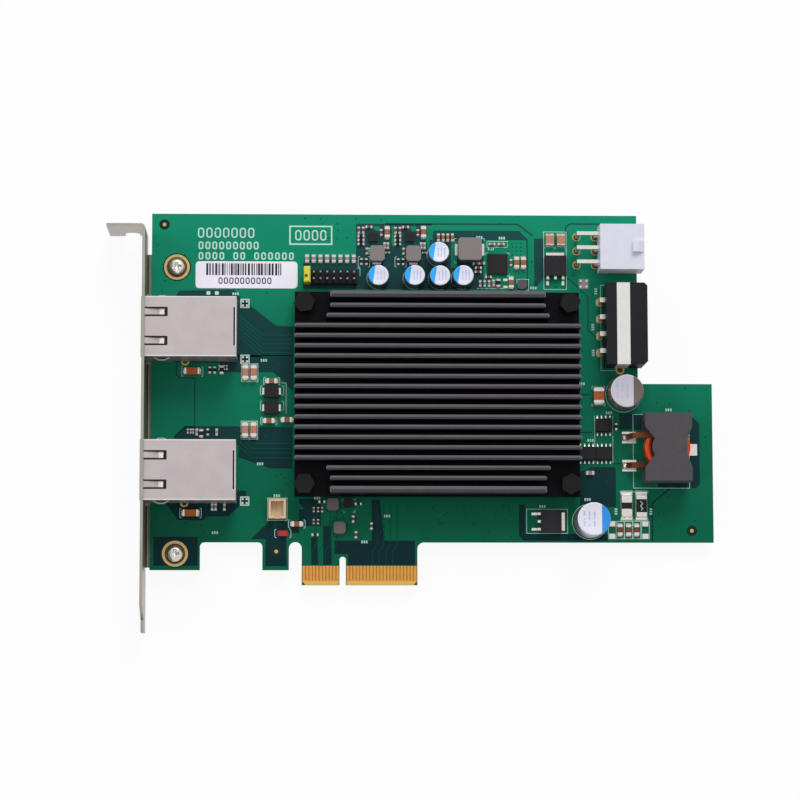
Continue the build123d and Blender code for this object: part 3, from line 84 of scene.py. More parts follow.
def turned(axis, angle):
    """The 3 x 3 matrix that turns the view by an angle about one axis."""
    return np.array(Matrix.Rotation(angle, 3, axis))


view_rows = turned("Z", ROLL) @ turned("X", PITCH) @ turned("Y", YAW)
camera = bpy.data.objects.new("camera", bpy.data.cameras.new("camera"))
bpy.context.scene.collection.objects.link(camera)
placing = np.eye(4)
placing[:3, :3] = view_rows.T
placing[:3, 3] = EYE * MM
camera.matrix_world = Matrix(placing.tolist())
camera.data.sensor_width = SENSOR_WIDTH
camera.data.lens = SENSOR_WIDTH * FOCAL_PIXELS / PICTURE_PIXELS
camera.data.clip_start, camera.data.clip_end = 0.05, 10.0
bpy.context.scene.camera = camera
print("lens in mm:", round(camera.data.lens, 1))

# %% [markdown]
# ## Sums of sockets
#
# A finish is a sum of noises, waves and masks. Wired by hand, such a sum is a
# tangle of small nodes. The class below wraps one socket, so that
# `0.4 + 0.2 * grain` adds the two nodes by itself.


# %% A socket that can be added and multiplied
class Field:
    """What a node gives over the surface, a number or a colour."""

    def __init__(self, tree, socket):
        self.tree = tree
        self.socket = socket

    def node(self, kind, settings=(), inputs=(), output=0):
        """Adds any node: its settings first, then values or links for its sockets."""
        made = self.tree.nodes.new(kind)
        for key, value in dict(settings).items():
            if key == "stops":
                ramp = made.color_ramp
                while len(ramp.elements) < len(value):
                    ramp.elements.new(0.5)
                for element, (place, colour) in zip(ramp.elements, value):
                    element.position = place
                    element.color = (*colour, 1.0)
            else:
                setattr(made, key, value)
        for key, value in dict(inputs).items():
            if isinstance(value, Field):
                self.tree.links.new(value.socket, made.inputs[key])
            else:
                made.inputs[key].default_value = value
        return Field(self.tree, made.outputs[output])

    def maths(self, operation, first, second):
        return self.node("ShaderNodeMath", {"operation": operation}, {0: first, 1: second})

    def __add__(self, other):
        return self.maths("ADD", self, other)

    def __radd__(self, other):
        return self.maths("ADD", other, self)

    def __sub__(self, other):
        return self.maths("SUBTRACT", self, other)

    def __rsub__(self, other):
        return self.maths("SUBTRACT", other, self)

    def __mul__(self, other):
        return self.maths("MULTIPLY", self, other)

    def __rmul__(self, other):
        return self.maths("MULTIPLY", other, self)

    def __gt__(self, other):
        return self.maths("GREATER_THAN", self, other)

    def __lt__(self, other):
        return self.maths("LESS_THAN", self, other)


def blend(mask, first, second):
    """The first colour where the mask is 0, the second where it is 1."""
    return mask.node("ShaderNodeMix", {"data_type": "RGBA"}, {0: mask, 6: first, 7: second}, output=2)


def parts_of(vector):
    """The three numbers of a vector field."""
    return [vector.node("ShaderNodeSeparateXYZ", (), {0: vector}, output=i) for i in range(3)]


def ink(red, green, blue):
    """A screen colour, 0 to 255, as the light it stands for."""
    share = np.array([red, green, blue]) / 255.0
    light = np.where(share > 0.04045, ((share + 0.055) / 1.055) ** 2.4, share / 12.92)
    return (*light.tolist(), 1.0)


# %% [markdown]
# ## Grain and finish
#
# Nothing real has one flat colour. Each finish starts from the object's own
# coordinates, blends two near colours by a soft noise, lets another noise move
# the roughness, and adds a fine bump. Steady numbers, such as how metallic it
# is, stay on the shader's own sockets.


# %% Helpers for finishes
def start_finish(name):
    """A new material with a shader, and its object coordinates as a field."""
    material = bpy.data.materials.new(name)
    material.use_nodes = True
    tree = material.node_tree
    tree.nodes.clear()
    output = tree.nodes.new("ShaderNodeOutputMaterial")
    shader = tree.nodes.new("ShaderNodeBsdfPrincipled")
    tree.links.new(shader.outputs[0], output.inputs[0])
    place = tree.nodes.new("ShaderNodeTexCoord")
    return material, shader, Field(tree, place.outputs["Object"])


def stretched(place, x, y, z):
    """Coordinates drawn out along an axis, for brushing and rolling marks."""
    return place.node("ShaderNodeMapping", (), {0: place, "Scale": (x, y, z)})


def noise(place, size, detail=3.0):
    """Soft noise from 0 to 1, whose spots are about this many millimetres wide."""
    inputs = {"Vector": place, "Scale": 1.0 / (size * MM), "Detail": detail}
    return place.node("ShaderNodeTexNoise", (), inputs)


def end_finish(shader, colour, roughness, height=None, depth=0.02, strength=1.0, **steady):
    """Wires the varying fields to the shader and sets its steady values; depth in mm."""
    fields = {"Base Color": colour, "Roughness": roughness}
    if height is not None:
        fields["Normal"] = height.node("ShaderNodeBump", (), {
            "Height": height, "Strength": strength, "Distance": depth * MM})
    for socket, value in fields.items():
        if isinstance(value, Field):
            value.tree.links.new(value.socket, shader.inputs[socket])
        else:
            shader.inputs[socket].default_value = value
    for socket, value in steady.items():
        shader.inputs[socket.replace("_", " ").title().replace("Ior", "IOR")].default_value = value


def mottled(name, colour, shade, spot, roughness, spread, grain, depth, draw=(1, 1, 1), **steady):
    """A finish of two near screen colours in spots, with a grain in its roughness and bump."""
    material, shader, place = start_finish(name)
    drawn = place if draw == (1, 1, 1) else stretched(place, *draw)
    spots = noise(place, spot)
    fine = noise(drawn, grain)
    steady.setdefault("specular_ior_level", 0.12)
    colours = blend(spots, ink(*colour), ink(*shade))
    end_finish(shader, colours, roughness + spread * (fine - 0.5), fine, depth, **steady)
    return material


print("finish helpers ready")

# %% [markdown]
# ## The board's green
#
# A circuit board is woven glass in resin, coated with a thin glossy green
# lacquer. Over copper the lacquer looks bright green, over bare resin dark
# blue-green. The weave shows faintly as a fine check, so the bump is two
# crossed waves. The sawn edge is duller and straw coloured: there the surface
# doesn't face up or down.


# %% Board finishes
BOARD_TOP, BOARD_BACK = 111.15, -1.57


def lacquer(name, near, far, edge):
    """Green lacquer with a faint weave and a raw sawn edge, and painted light: paler from the contacts to the
    top edge, painted shade near the contacts and painted light at the top.
    """
    material, shader, place = start_finish(name)
    weave = [
        place.node("ShaderNodeTexWave", {"bands_direction": axis}, {
            "Vector": place, "Scale": 300.0, "Distortion": 1.5, "Detail": 1.0}, output=1)
        for axis in ("X", "Y")
    ]
    cloud = noise(place, 9.0, 4.0)
    speck = noise(place, 0.5)
    facing = parts_of(place.node("ShaderNodeNewGeometry", output=1))[2]
    flat = (facing * facing) > 0.5
    # Painted light: the lacquer grows paler with y, from painted shade at the contacts to painted light at
    # the top edge.
    painted_light_rise = parts_of(place)[1] * (1.0 / (BOARD_TOP * MM))
    top = blend(painted_light_rise + 0.22 * (cloud - 0.5) + 0.10 * (speck - 0.5), near, far)
    end_finish(
        shader, blend(flat, edge, top), 0.34 + 0.10 * cloud + 0.30 * (1 - flat),
        weave[0] + weave[1] + speck, 0.003, specular_ior_level=0.08)
    return material


# Each lacquer runs from its first colour, painted shade at the contacts, to its second, painted light at the
# top edge.
board_green = lacquer("board_green", ink(2, 90, 64), ink(18, 138, 106), ink(122, 140, 88))
board_dark = lacquer("board_dark", ink(4, 38, 44), ink(28, 74, 74), ink(18, 52, 56))
board_deep = lacquer("board_deep", ink(0, 66, 46), ink(8, 108, 80), ink(2, 76, 56))
print("board finishes:", board_green.name, board_dark.name, board_deep.name)

# %% [markdown]
# ## The other finishes
#
# Sheet steel is rolled, so its grain is drawn out along one axis. Tin and
# solder are bright and a little lumpy. Moulded plastic has a fine spark-eroded
# texture. Black anodised aluminium keeps the lines of the extrusion die. All of
# them are the same recipe with other numbers.

# %% Metals
steel = mottled("bracket_steel", (168, 161, 152), (146, 140, 132), 6.0, 0.36, 0.18, 0.25, 0.004,
                draw=(1.0, 0.06, 0.06), metallic=1.0)
shield = mottled("shield_steel", (190, 181, 183), (172, 164, 166), 5.0, 0.38, 0.16, 0.30, 0.005,
                 draw=(0.08, 1.0, 1.0), metallic=0.85)
bright_screw = mottled("screw_steel", (216, 212, 206), (190, 186, 184), 0.8, 0.24, 0.16, 0.12, 0.004,
                       metallic=1.0)
nut_metal = mottled("nut_steel", (205, 200, 190), (180, 176, 168), 1.0, 0.34, 0.18, 0.15, 0.005, metallic=1.0)
tin = mottled("bright_tin", (226, 222, 216), (196, 190, 184), 0.6, 0.28, 0.22, 0.20, 0.010, metallic=0.9)
solder = mottled("solder", (228, 226, 222), (196, 192, 190), 0.4, 0.26, 0.20, 0.25, 0.020, metallic=0.75)
enamel = mottled("copper_enamel", (214, 74, 26), (176, 48, 16), 1.2, 0.30, 0.14, 0.30, 0.006,
                 draw=(1.0, 1.0, 0.3), metallic=0.35, coat_weight=0.4)
print("metals ready")


# %% Gold
def plated_gold(name):
    """Thin gold over nickel, with rub marks along the way the contacts slide."""
    material, shader, place = start_finish(name)
    rubs = noise(stretched(place, 1.0, 0.05, 1.0), 0.12)
    spots = noise(place, 1.6)
    end_finish(shader, blend(0.6 * spots + 0.4 * rubs, ink(220, 162, 80), ink(190, 130, 56)),
               0.26 + 0.16 * rubs, rubs, 0.003, metallic=0.9)
    return material


gold = plated_gold("plated_gold")
bevel_gold = mottled("bevel_gold", (222, 180, 104), (204, 158, 84), 0.8, 0.34, 0.20, 0.20, 0.006,
                     metallic=0.6)
gap_brown = mottled("gap_brown", (176, 116, 52), (150, 96, 44), 0.8, 0.44, 0.20, 0.20, 0.006, metallic=0.4)

# %% Plastics, rubber and ceramics
black_plastic = mottled("black_plastic", (34, 33, 38), (26, 25, 29), 2.0, 0.52, 0.14, 0.10, 0.006)
chip_black = mottled("chip_plastic", (44, 42, 46), (34, 32, 36), 1.0, 0.55, 0.14, 0.09, 0.008)
hex_black = mottled("hex_screw_black", (26, 25, 27), (18, 17, 19), 1.0, 0.46, 0.14, 0.12, 0.006)
nylon = mottled("nylon_white", (226, 227, 238), (212, 214, 228), 3.0, 0.42, 0.10, 0.20, 0.004,
                subsurface_weight=0.15, subsurface_scale=0.002)
collar_white = mottled("collar_white", (232, 229, 227), (220, 217, 214), 2.0, 0.50, 0.12, 0.15, 0.005)
ivory = mottled("ivory_plastic", (228, 200, 168), (214, 184, 150), 1.5, 0.48, 0.12, 0.15, 0.005)
yellow = mottled("jumper_yellow", (222, 218, 84), (206, 200, 60), 1.2, 0.48, 0.12, 0.15, 0.005)
rubber = mottled("bung_rubber", (26, 26, 28), (18, 18, 20), 1.0, 0.70, 0.10, 0.12, 0.010)
pad_grey = mottled("thermal_pad", (150, 158, 166), (134, 142, 150), 1.0, 0.75, 0.10, 0.20, 0.015)
lens = mottled("indicator_lens", (214, 220, 130), (200, 206, 112), 0.8, 0.22, 0.08, 0.20, 0.003,
               coat_weight=0.3)
red_lens = mottled("status_red", (190, 60, 66), (160, 40, 50), 0.7, 0.26, 0.10, 0.20, 0.003, coat_weight=0.3)
ferrite = mottled("moulded_iron", (122, 114, 112), (106, 99, 98), 0.6, 0.62, 0.14, 0.11, 0.020)
core_grey = mottled("core_ferrite", (84, 81, 84), (74, 71, 75), 1.8, 0.58, 0.14, 0.16, 0.012)
tan = mottled("ceramic_tan", (158, 112, 84), (136, 92, 68), 0.7, 0.44, 0.14, 0.14, 0.008)
orange_tan = mottled("ceramic_orange", (200, 112, 68), (178, 94, 54), 0.9, 0.40, 0.14, 0.14, 0.008)
dark_ceramic = mottled("ceramic_black", (40, 38, 44), (30, 28, 34), 0.7, 0.46, 0.14, 0.12, 0.008)
pink_tan = mottled("ceramic_pink", (194, 140, 116), (172, 120, 98), 0.9, 0.44, 0.14, 0.14, 0.008)
grey_ceramic = mottled("ceramic_grey", (158, 148, 148), (136, 128, 130), 0.7, 0.46, 0.14, 0.12, 0.008)
pale_iron = mottled("pale_iron", (142, 134, 134), (126, 119, 119), 0.6, 0.62, 0.14, 0.11, 0.020)
purple_iron = mottled("purple_iron", (100, 92, 104), (86, 80, 90), 0.8, 0.50, 0.14, 0.12, 0.012)
dull_pin = mottled("dull_pin", (156, 152, 152), (128, 124, 126), 0.5, 0.40, 0.20, 0.20, 0.010, metallic=0.5)
brown_ceramic = mottled("ceramic_brown", (128, 82, 64), (104, 64, 52), 0.6, 0.46, 0.14, 0.12, 0.008)
# Darker enamel for the coil's leads is painted shade.
lead_shade_enamel = mottled("lead_enamel_painted_shade", (120, 62, 36), (84, 42, 26), 0.8, 0.40, 0.14, 0.20, 0.010, metallic=0.3)
# Painted shade with a painted reflection of the board, and a painted highlight on the bend, for the bracket's
# flange beside the board.
shade_and_reflection_on_flange = mottled("flange_painted_shade_and_reflection", (88, 84, 66), (74, 70, 56), 4.0, 0.55, 0.14, 0.25, 0.004,
                draw=(1, 0.06, 1))
highlight_on_flange = mottled("flange_edge_painted_highlight", (178, 172, 152), (160, 154, 138), 4.0, 0.45, 0.14, 0.25, 0.004,
                draw=(1, 0.06, 1))
ring_gold = mottled("ring_gold", (208, 186, 130), (180, 152, 96), 0.5, 0.36, 0.20, 0.20, 0.008, metallic=0.5)
hole_brown = mottled("pad_hole", (112, 90, 42), (66, 46, 22), 0.7, 0.50, 0.14, 0.20, 0.015, metallic=0.3)
# Painted highlight and painted shade for the two halves of each fin's milled tip.
tip_painted_highlight = mottled("fin_tip_painted_highlight", (106, 103, 108), (94, 91, 96), 3.0, 0.44, 0.16, 0.20, 0.008,
                   draw=(0.03, 1, 1))
tip_painted_shade = mottled("fin_tip_painted_shade", (68, 65, 70), (58, 56, 60), 3.0, 0.44, 0.16, 0.20, 0.008,
                  draw=(0.03, 1, 1))
# Painted shade for the gaps round the shields' springs and their rear slot.
gap_shade_paint = mottled("sheet_gap_painted_shade", (44, 38, 32), (30, 27, 24), 1.0, 0.60, 0.14, 0.20, 0.008)
# A painted highlight for the shields' folded edges.
sheet_edge_highlight = mottled("sheet_edge_highlight", (232, 224, 226), (214, 206, 208), 1.2, 0.34, 0.14, 0.20, 0.004,
                     metallic=0.5)
white_ink = mottled("silk_ink", (196, 232, 220), (176, 216, 204), 0.7, 0.62, 0.12, 0.10, 0.006)
hole_dark = mottled("drilled_hole", (16, 46, 38), (8, 32, 28), 0.5, 0.60, 0.10, 0.10, 0.010)
print("plastics, ceramics and inks ready")


# %% Anodised fins
FIN_FOOT, FIN_HEIGHT = 5.0, 7.0


def anodised_fins(name):
    """Black anodised aluminium with die lines along x. The share of the fins' height, squared, makes their
    flanks paler towards the tips, as painted light that deepens to painted shade at the foot, and the milled
    tips are palest, a painted highlight."""
    material, shader, place = start_finish(name)
    lines = noise(stretched(place, 0.03, 1.0, 1.0), 0.22)
    cloud = noise(place, 7.0)
    level = (parts_of(place)[2] - FIN_FOOT * MM) * (1.0 / (FIN_HEIGHT * MM))
    facing = parts_of(place.node("ShaderNodeNewGeometry", output=1))[2]
    # Painted light on the flanks, painted shade at their foot and a painted highlight on the tips.
    tip_highlight_mask = (facing > 0.7) * (level > 0.9)
    flank_light_share = level * (level > 0.02)
    flank_painted_light = blend(flank_light_share * flank_light_share * (0.75 + 0.25 * cloud), ink(11, 10, 14), ink(62, 59, 64))
    end_finish(shader, blend(tip_highlight_mask * (0.85 + 0.15 * lines), flank_painted_light, ink(112, 109, 114)),
               0.42 + 0.20 * (lines - 0.5), lines, 0.008, specular_ior_level=0.06)
    return material


anodised = anodised_fins("sink_anodised")

# %% [markdown]
# ## Dressing the solids
#
# A solid whose shape is right keeps its mesh and only gets its finish. The
# record names a material slot for each solid, so one table from slot to finish
# dresses them all.

# %% Give each solid its finish
FINISH_OF_SLOT = {
    "laminate": board_green, "gold": gold, "bracket_steel": steel, "screw_steel": bright_screw,
    "shield_steel": shield, "black_plastic": black_plastic, "chip_plastic": chip_black,
    "sink_black": anodised, "sink_screw_black": hex_black, "nut_steel": nut_metal, "pad_grey": pad_grey,
    "lens": lens, "jumper_yellow": yellow, "nylon_white": nylon, "collar_white": collar_white, "tin": tin,
    "ferrite": ferrite, "copper": enamel, "can_aluminium": tin, "bung_rubber": rubber, "ceramic_tan": tan,
    "ceramic_black": dark_ceramic, "ivory": ivory, "red_lens": red_lens, "paper": collar_white,
}
FINISH_OF_NODE = {"power_inductor_core": core_grey, "header_pins": dull_pin, "small_inductors": pale_iron,
                  "medium_inductor": pale_iron, "round_inductor": purple_iron}
for part in frame["record"]["subparts"]:
    solid = frame["nodes"][part["node"]]
    solid.data.materials.clear()
    solid.data.materials.append(FINISH_OF_NODE.get(part["node"], FINISH_OF_SLOT[part["material_slot"]]))

# %% [markdown]
# ## Three ways to make a skin
#
# Nearly all small things on a board are one of three skins. A *stack* carries an
# outline up through levels and pulls it in as it goes. A *turning* spins a
# profile about an upright axis. A *sweep* carries a profile along a path. All
# points come from one numpy sum, with no loop over them.


# %% Skins as grids
def grid_faces(rows, columns):
    """Four-cornered faces between neighbouring rows of a grid whose columns close in a ring."""
    row, column = np.meshgrid(np.arange(rows - 1), np.arange(columns), indexing="ij")
    after = (column + 1) % columns
    return np.stack([
        row * columns + column, row * columns + after,
        (row + 1) * columns + after, (row + 1) * columns + column], -1).reshape(-1, 4).tolist()


def capped(rows, columns):
    """A ringed grid's faces with a flat lid on its first and last row."""
    ends = [list(range(columns))[::-1], list(range((rows - 1) * columns, rows * columns))]
    return grid_faces(rows, columns) + ends


def stack(outline, levels):
    """An outline (N x 2) carried through levels (inset, z): each corner moves inwards along the
    bisector of its two edges, by the inset over the cosine of half the angle between them."""
    ahead = np.roll(outline, -1, 0) - outline
    normal = np.stack([ahead[:, 1], -ahead[:, 0]], 1) / np.linalg.norm(ahead, axis=1)[:, None]
    before = np.roll(normal, 1, 0)
    mitre = (normal + before) / (1 + (normal * before).sum(1))[:, None]
    inset, z = np.array(levels, float).T
    flat = outline[None] - inset[:, None, None] * mitre[None]
    height = np.broadcast_to(z[:, None, None], (len(z), len(outline), 1))
    return np.concatenate([flat, height], 2).reshape(-1, 3), capped(len(z), len(outline))


def turning(profile, centre, sides=28):
    """A closed profile (radius, z) spun about an upright axis: x and y are the radius times the
    cosine and sine of the turn. A radius of 0 makes a pole."""
    radius, z = np.array(profile, float).T
    turn = np.linspace(0, 2 * np.pi, sides, endpoint=False)
    x = centre[0] + radius[:, None] * np.cos(turn)
    y = centre[1] + radius[:, None] * np.sin(turn)
    points = np.stack([x, y, np.broadcast_to(z[:, None], x.shape)], -1).reshape(-1, 3)
    return points, capped(len(z), sides)


def hoop(profile, centre, sides=32):
    """A closed profile spun into a ring, whose last row joins its first."""
    points, _ = turning(profile, centre, sides)
    rows = len(profile)
    faces = [[corner % (rows * sides) for corner in face] for face in grid_faces(rows + 1, sides)]
    return points, faces


def plate(outline, low, high):
    """A plate with straight sides between two heights."""
    return stack(outline, [(0, low), (0, high)])


def disc(radius, low, high, centre, sides=28):
    """A round plate between two heights."""
    return turning([(0, low), (radius, low), (radius, high), (0, high)], centre, sides)


def washer(inner, outer, low, high, centre, sides=28):
    """A flat ring between two heights."""
    return hoop([(inner, low), (outer, low), (outer, high), (inner, high)], centre, sides)


def sweep(path, sideways, upwards, profile, closed=False):
    """A profile (M x 2) carried along a path (K x 3): point = path + p * sideways + q * upwards."""
    p, q = np.array(profile, float).T
    points = path[:, None] + p[None, :, None] * sideways[:, None] + q[None, :, None] * upwards[:, None]
    count, ring = len(path), len(profile)
    if closed:
        faces = [[corner % (count * ring) for corner in face] for face in grid_faces(count + 1, ring)]
    else:
        faces = capped(count, ring)
    return points.reshape(-1, 3), faces


def strip(points, width, low, high, closed=False):
    """A flat line of some width along x, y points: the side vector at each corner is the bisector,
    lengthened so that the width stays the same round the corner."""
    line = np.array(points, float)
    ahead = np.roll(line, -1, 0) - line
    if not closed:
        ahead[-1] = ahead[-2]
    normal = np.stack([ahead[:, 1], -ahead[:, 0]], 1) / np.linalg.norm(ahead, axis=1)[:, None]
    before = np.roll(normal, 1, 0)
    if not closed:
        before[0] = normal[0]
    side = (normal + before) / (1 + (normal * before).sum(1))[:, None]
    path = np.column_stack([line, np.zeros(len(line))])
    sideways = np.column_stack([side, np.zeros(len(line))])
    upwards = np.tile([0.0, 0.0, 1.0], (len(line), 1))
    half = width / 2
    return sweep(path, sideways, upwards, [(-half, low), (half, low), (half, high), (-half, high)], closed)


def box_outline(x, y, length, width, corner=0.0, steps=1):
    """A rectangle's outline, with each corner an arc of a few steps: centre + corner * (cos, sin)."""
    if corner <= 0:
        half = np.array([[-1, -1], [1, -1], [1, 1], [-1, 1]]) * np.array([length, width]) / 2
        return half + [x, y]
    quarter = np.linspace(0, np.pi / 2, steps + 1)
    turn = (np.arange(4)[:, None] * np.pi / 2 - np.pi + quarter[None]).ravel()
    signs = np.repeat([[-1, -1], [1, -1], [1, 1], [-1, 1]], steps + 1, axis=0)
    middle = signs * (np.array([length, width]) / 2 - corner)
    return middle + corner * np.stack([np.cos(turn), np.sin(turn)], 1) + [x, y]


def circle(x, y, radius, turn):
    """Points on a circle at the given turns: centre + radius * (cos, sin)."""
    return np.stack([x + radius * np.cos(turn), y + radius * np.sin(turn)], 1)


# %% [markdown]
# ## From skins to pieces
#
# A piece often has many small skins, such as all solder joints on the board. A
# heap collects them, each with the number of its finish, and makes one mesh.


# %% Heap of skins
class Heap:
    """Collects closed skins, and makes them one piece that rides on the card."""

    def __init__(self):
        self.points = []
        self.faces = []
        self.finish = []
        self.smooth = []
        self.count = 0

    def add(self, skin, finish=0, smooth=False):
        points, faces = skin
        self.faces += [[corner + self.count for corner in face] for face in faces]
        self.finish += [finish] * len(faces)
        self.smooth += [smooth] * len(faces)
        self.points.append(points)
        self.count += len(points)

    def make(self, name, finishes, slot=None, stands_for=()):
        mesh = bpy.data.meshes.new(name)
        mesh.from_pydata((np.concatenate(self.points) * MM).tolist(), [], self.faces)
        mesh.validate()
        piece = bpy.data.objects.new(name, mesh)
        bpy.context.scene.collection.objects.link(piece)
        for finish in finishes:
            mesh.materials.append(finish)
        mesh.polygons.foreach_set("material_index", self.finish)
        mesh.polygons.foreach_set("use_smooth", self.smooth)
        mesh.update()
        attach(piece, "root")
        if stands_for:
            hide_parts(*stands_for)
        print(name, "has", sum(len(face) - 2 for face in self.faces), "triangles")
        return piece


# %% [markdown]
# ## Copper under the lacquer
#
# Copper sheets fill most of the board. Where they stop, the resin shows dark
# through the lacquer, in long channels with cut corners. Painting them as a
# mask in the board's finish would need dozens of half planes. Thin plates over
# the board give the same look, and each outline stays a plain list of corners.

# %% Dark channels in the copper
SKIN = 0.02


def over_board(heap, corners, high):
    """A thin plate on the board. Four numbers are a rectangle's left, top, right and bottom, and
    corners that are listed clockwise are turned round first."""
    if len(np.shape(corners)) == 1:
        left, top, right, bottom = corners
        corners = [(left, top), (right, top), (right, bottom), (left, bottom)]
    outline = np.array(corners)
    after = np.roll(outline, -1, 0)
    if np.sum(outline[:, 0] * after[:, 1] - outline[:, 1] * after[:, 0]) < 0:
        outline = outline[::-1]
    heap.add(plate(outline, 0.0, high))


dark = Heap()
DARK_FIELDS = [
    [(3.9, 108.4), (26.8, 108.4), (24.9, 104.3), (24.9, 88.6), (3.9, 88.6)],
    [(27.0, 106.4), (52.9, 106.4), (55.2, 104.1), (55.2, 103.6), (27.0, 103.6)],
    [(26.0, 103.6), (42.2, 103.6), (42.2, 88.6), (24.9, 88.6), (24.9, 103.0)],
    [(57.4, 104.1), (60.4, 104.1), (60.4, 92.0), (57.9, 89.4), (57.4, 89.4)],
    (-12.0, 96.4, 3.9, 88.6),
    [(-50.1, 86.1), (-48.9, 87.9), (-32.4, 88.3), (-30.4, 85.6), (-20.0, 77.4), (-14.7, 77.2), (-14.7, 68.0),
     (-30.0, 68.0), (-50.1, 68.0)],
    [(-52.6, 24.3), (-48.8, 19.2), (-41.2, 19.2), (-40.2, 20.3), (-34.0, 20.3), (-28.7, 25.2), (-28.7, 28.0),
     (-52.6, 28.0)],
    [(-21.6, 34.6), (-15.0, 34.6), (-15.0, 47.0), (-31.0, 47.0), (-31.0, 38.0)],
    [(-27.3, 13.6), (-21.6, 19.1), (-13.0, 19.1), (-13.0, 15.4), (-16.7, 15.4), (-16.7, 13.6)],
    [(-2.4, 13.2), (21.4, 13.2), (21.4, 5.9), (1.6, 5.9), (1.6, 9.2), (-2.4, 9.2)],
    [(8.6, 25.4), (11.0, 25.4), (12.4, 13.2), (8.6, 13.2)],
    (-9.4, 14.0, -7.4, 6.0), (-5.8, 17.5, -3.4, 6.0),
    (-13.0, 25.6, -6.4, 17.5),
    [(52.4, 24.0), (54.2, 24.0), (54.2, 15.2), (79.0, 15.2), (79.0, 13.2), (53.8, 13.2), (52.4, 14.6)],
    [(70.6, 33.8), (74.5, 35.2), (81.4, 35.2), (81.4, 23.3), (70.6, 23.3)],
    (82.6, 51.3, 96.0, 46.4),
    (-56.0, 14.3, -42.9, 5.7),
    (-22.9, 13.6, -16.7, 5.6),
    [(-49.9, 41.6), (-49.9, 44.2), (-46.9, 47.2), (-31.0, 47.2), (-31.0, 41.6)],
    [(-49.9, 68.5), (-49.9, 66.2), (-36.5, 66.2), (-36.5, 63.4), (-20.7, 63.4), (-14.8, 57.6),
     (-14.8, 68.5)],
    (-11.7, 97.2, 3.9, 96.4),
    [(94.0, 51.3), (103.6, 51.3), (106.6, 48.3), (106.6, 30.2), (105.6, 28.9), (94.0, 28.9)],
]
for corners in DARK_FIELDS:
    over_board(dark, corners, SKIN)
DARK_LINES = [
    ([(12.5, 108.4), (52.6, 108.4), (57.0, 104.9)], 0.45),
    ([(55.3, 104.0), (55.3, 89.0)], 0.38),
    ([(66.9, 106.0), (66.9, 107.5), (68.1, 108.6), (77.6, 108.6)], 0.42),
    ([(66.0, 93.6), (73.5, 86.5), (73.5, 76.4), (76.5, 73.6)], 0.30),
    ([(-44.1, 61.8), (-44.1, 47.0)], 0.30),
    ([(-49.6, 65.7), (-49.6, 62.5), (-48.4, 61.6), (-44.4, 61.6)], 0.30),
    ([(-49.9, 43.5), (-49.9, 44.3), (-46.9, 47.0), (-44.4, 47.0)], 0.30),
    ([(97.6, 28.8), (92.2, 24.4), (92.2, 13.2)], 0.45),
    ([(70.6, 56.9), (74.0, 56.9)], 0.35), ([(70.6, 45.6), (74.6, 45.6)], 0.35),
    ([(80.6, 36.2), (84.0, 36.2)], 0.35),
]
for line, width in DARK_LINES:
    dark.add(strip(line, width, 0.0, SKIN))
dark.make("dark_channels", [board_dark], slot="laminate")

# %% [markdown]
# Inside the dark fields lie islands of copper, and elsewhere a second copper
# layer shows through as a deeper green.

# %% Copper islands and deeper green
islands = Heap()
ISLANDS = [
    (32.4, 103.3, 34.2, 95.1),
    [(9.0, 107.6), (11.0, 107.6), (11.0, 106.2), (9.8, 106.2)],
    [(14.6, 107.7), (15.6, 107.7), (15.6, 101.2), (14.6, 102.2)],
    [(20.0, 107.6), (22.0, 107.6), (22.0, 106.2), (20.8, 106.2)],
    [(25.2, 107.9), (28.2, 107.9), (26.0, 104.4), (26.0, 100.9), (25.2, 100.9)],
    [(-28.7, 30.1), (-25.1, 34.6), (-17.2, 34.6), (-16.0, 33.4), (-16.0, 27.7), (-11.3, 22.5),
     (-24.0, 22.5)],
]
for corners in ISLANDS:
    over_board(islands, corners, 1.6 * SKIN)
islands.make("copper_islands", [board_green], slot="laminate")

# %% [markdown]
# ## Traces
#
# Signals run side by side from the ports to the chip, and bend by about half a
# right angle. Others climb from the contacts. Under the lacquer a trace is a
# faint raised line.

# %% Traces
traces = Heap()
PORT_TRACE, CONTACT_TRACE = 0.22, 0.18
for offset in (0.0, 1.5, 2.9, 4.3):
    line = np.array([(-31.3, 46.0), (-27.0, 42.1), (-14.8, 42.1)]) - (0, offset)
    traces.add(strip(line, PORT_TRACE, 0.0, 0.035))
for offset in (0.0, 1.3, 2.6, 3.9, 5.2, 6.5):
    line = np.array([(-31.0, 80.5), (-24.0, 74.6), (-14.8, 74.6)]) - (0, offset)
    traces.add(strip(line, PORT_TRACE, 0.0, 0.045))
for x in (-9.2, -7.2, -5.2, -3.2, 8.8, 10.8, 12.8, 14.8):
    line = [(x, 6.0), (x, 10.0), (x + 1.4, 12.0), (x + 1.4, 24.0)]
    traces.add(strip(line, CONTACT_TRACE, 0.0, 0.035))
traces.make("signal_traces", [board_deep], slot="laminate")

# %% [markdown]
# ## Chip parts
#
# A chip capacitor is a ceramic brick with a metal cap fired onto each end,
# standing in a little solder. The brick is a stack with softened edges, each
# cap a slightly larger stack, and each solder joint a stack that pulls in as it
# climbs. With many such parts, each has only a few dozen faces.


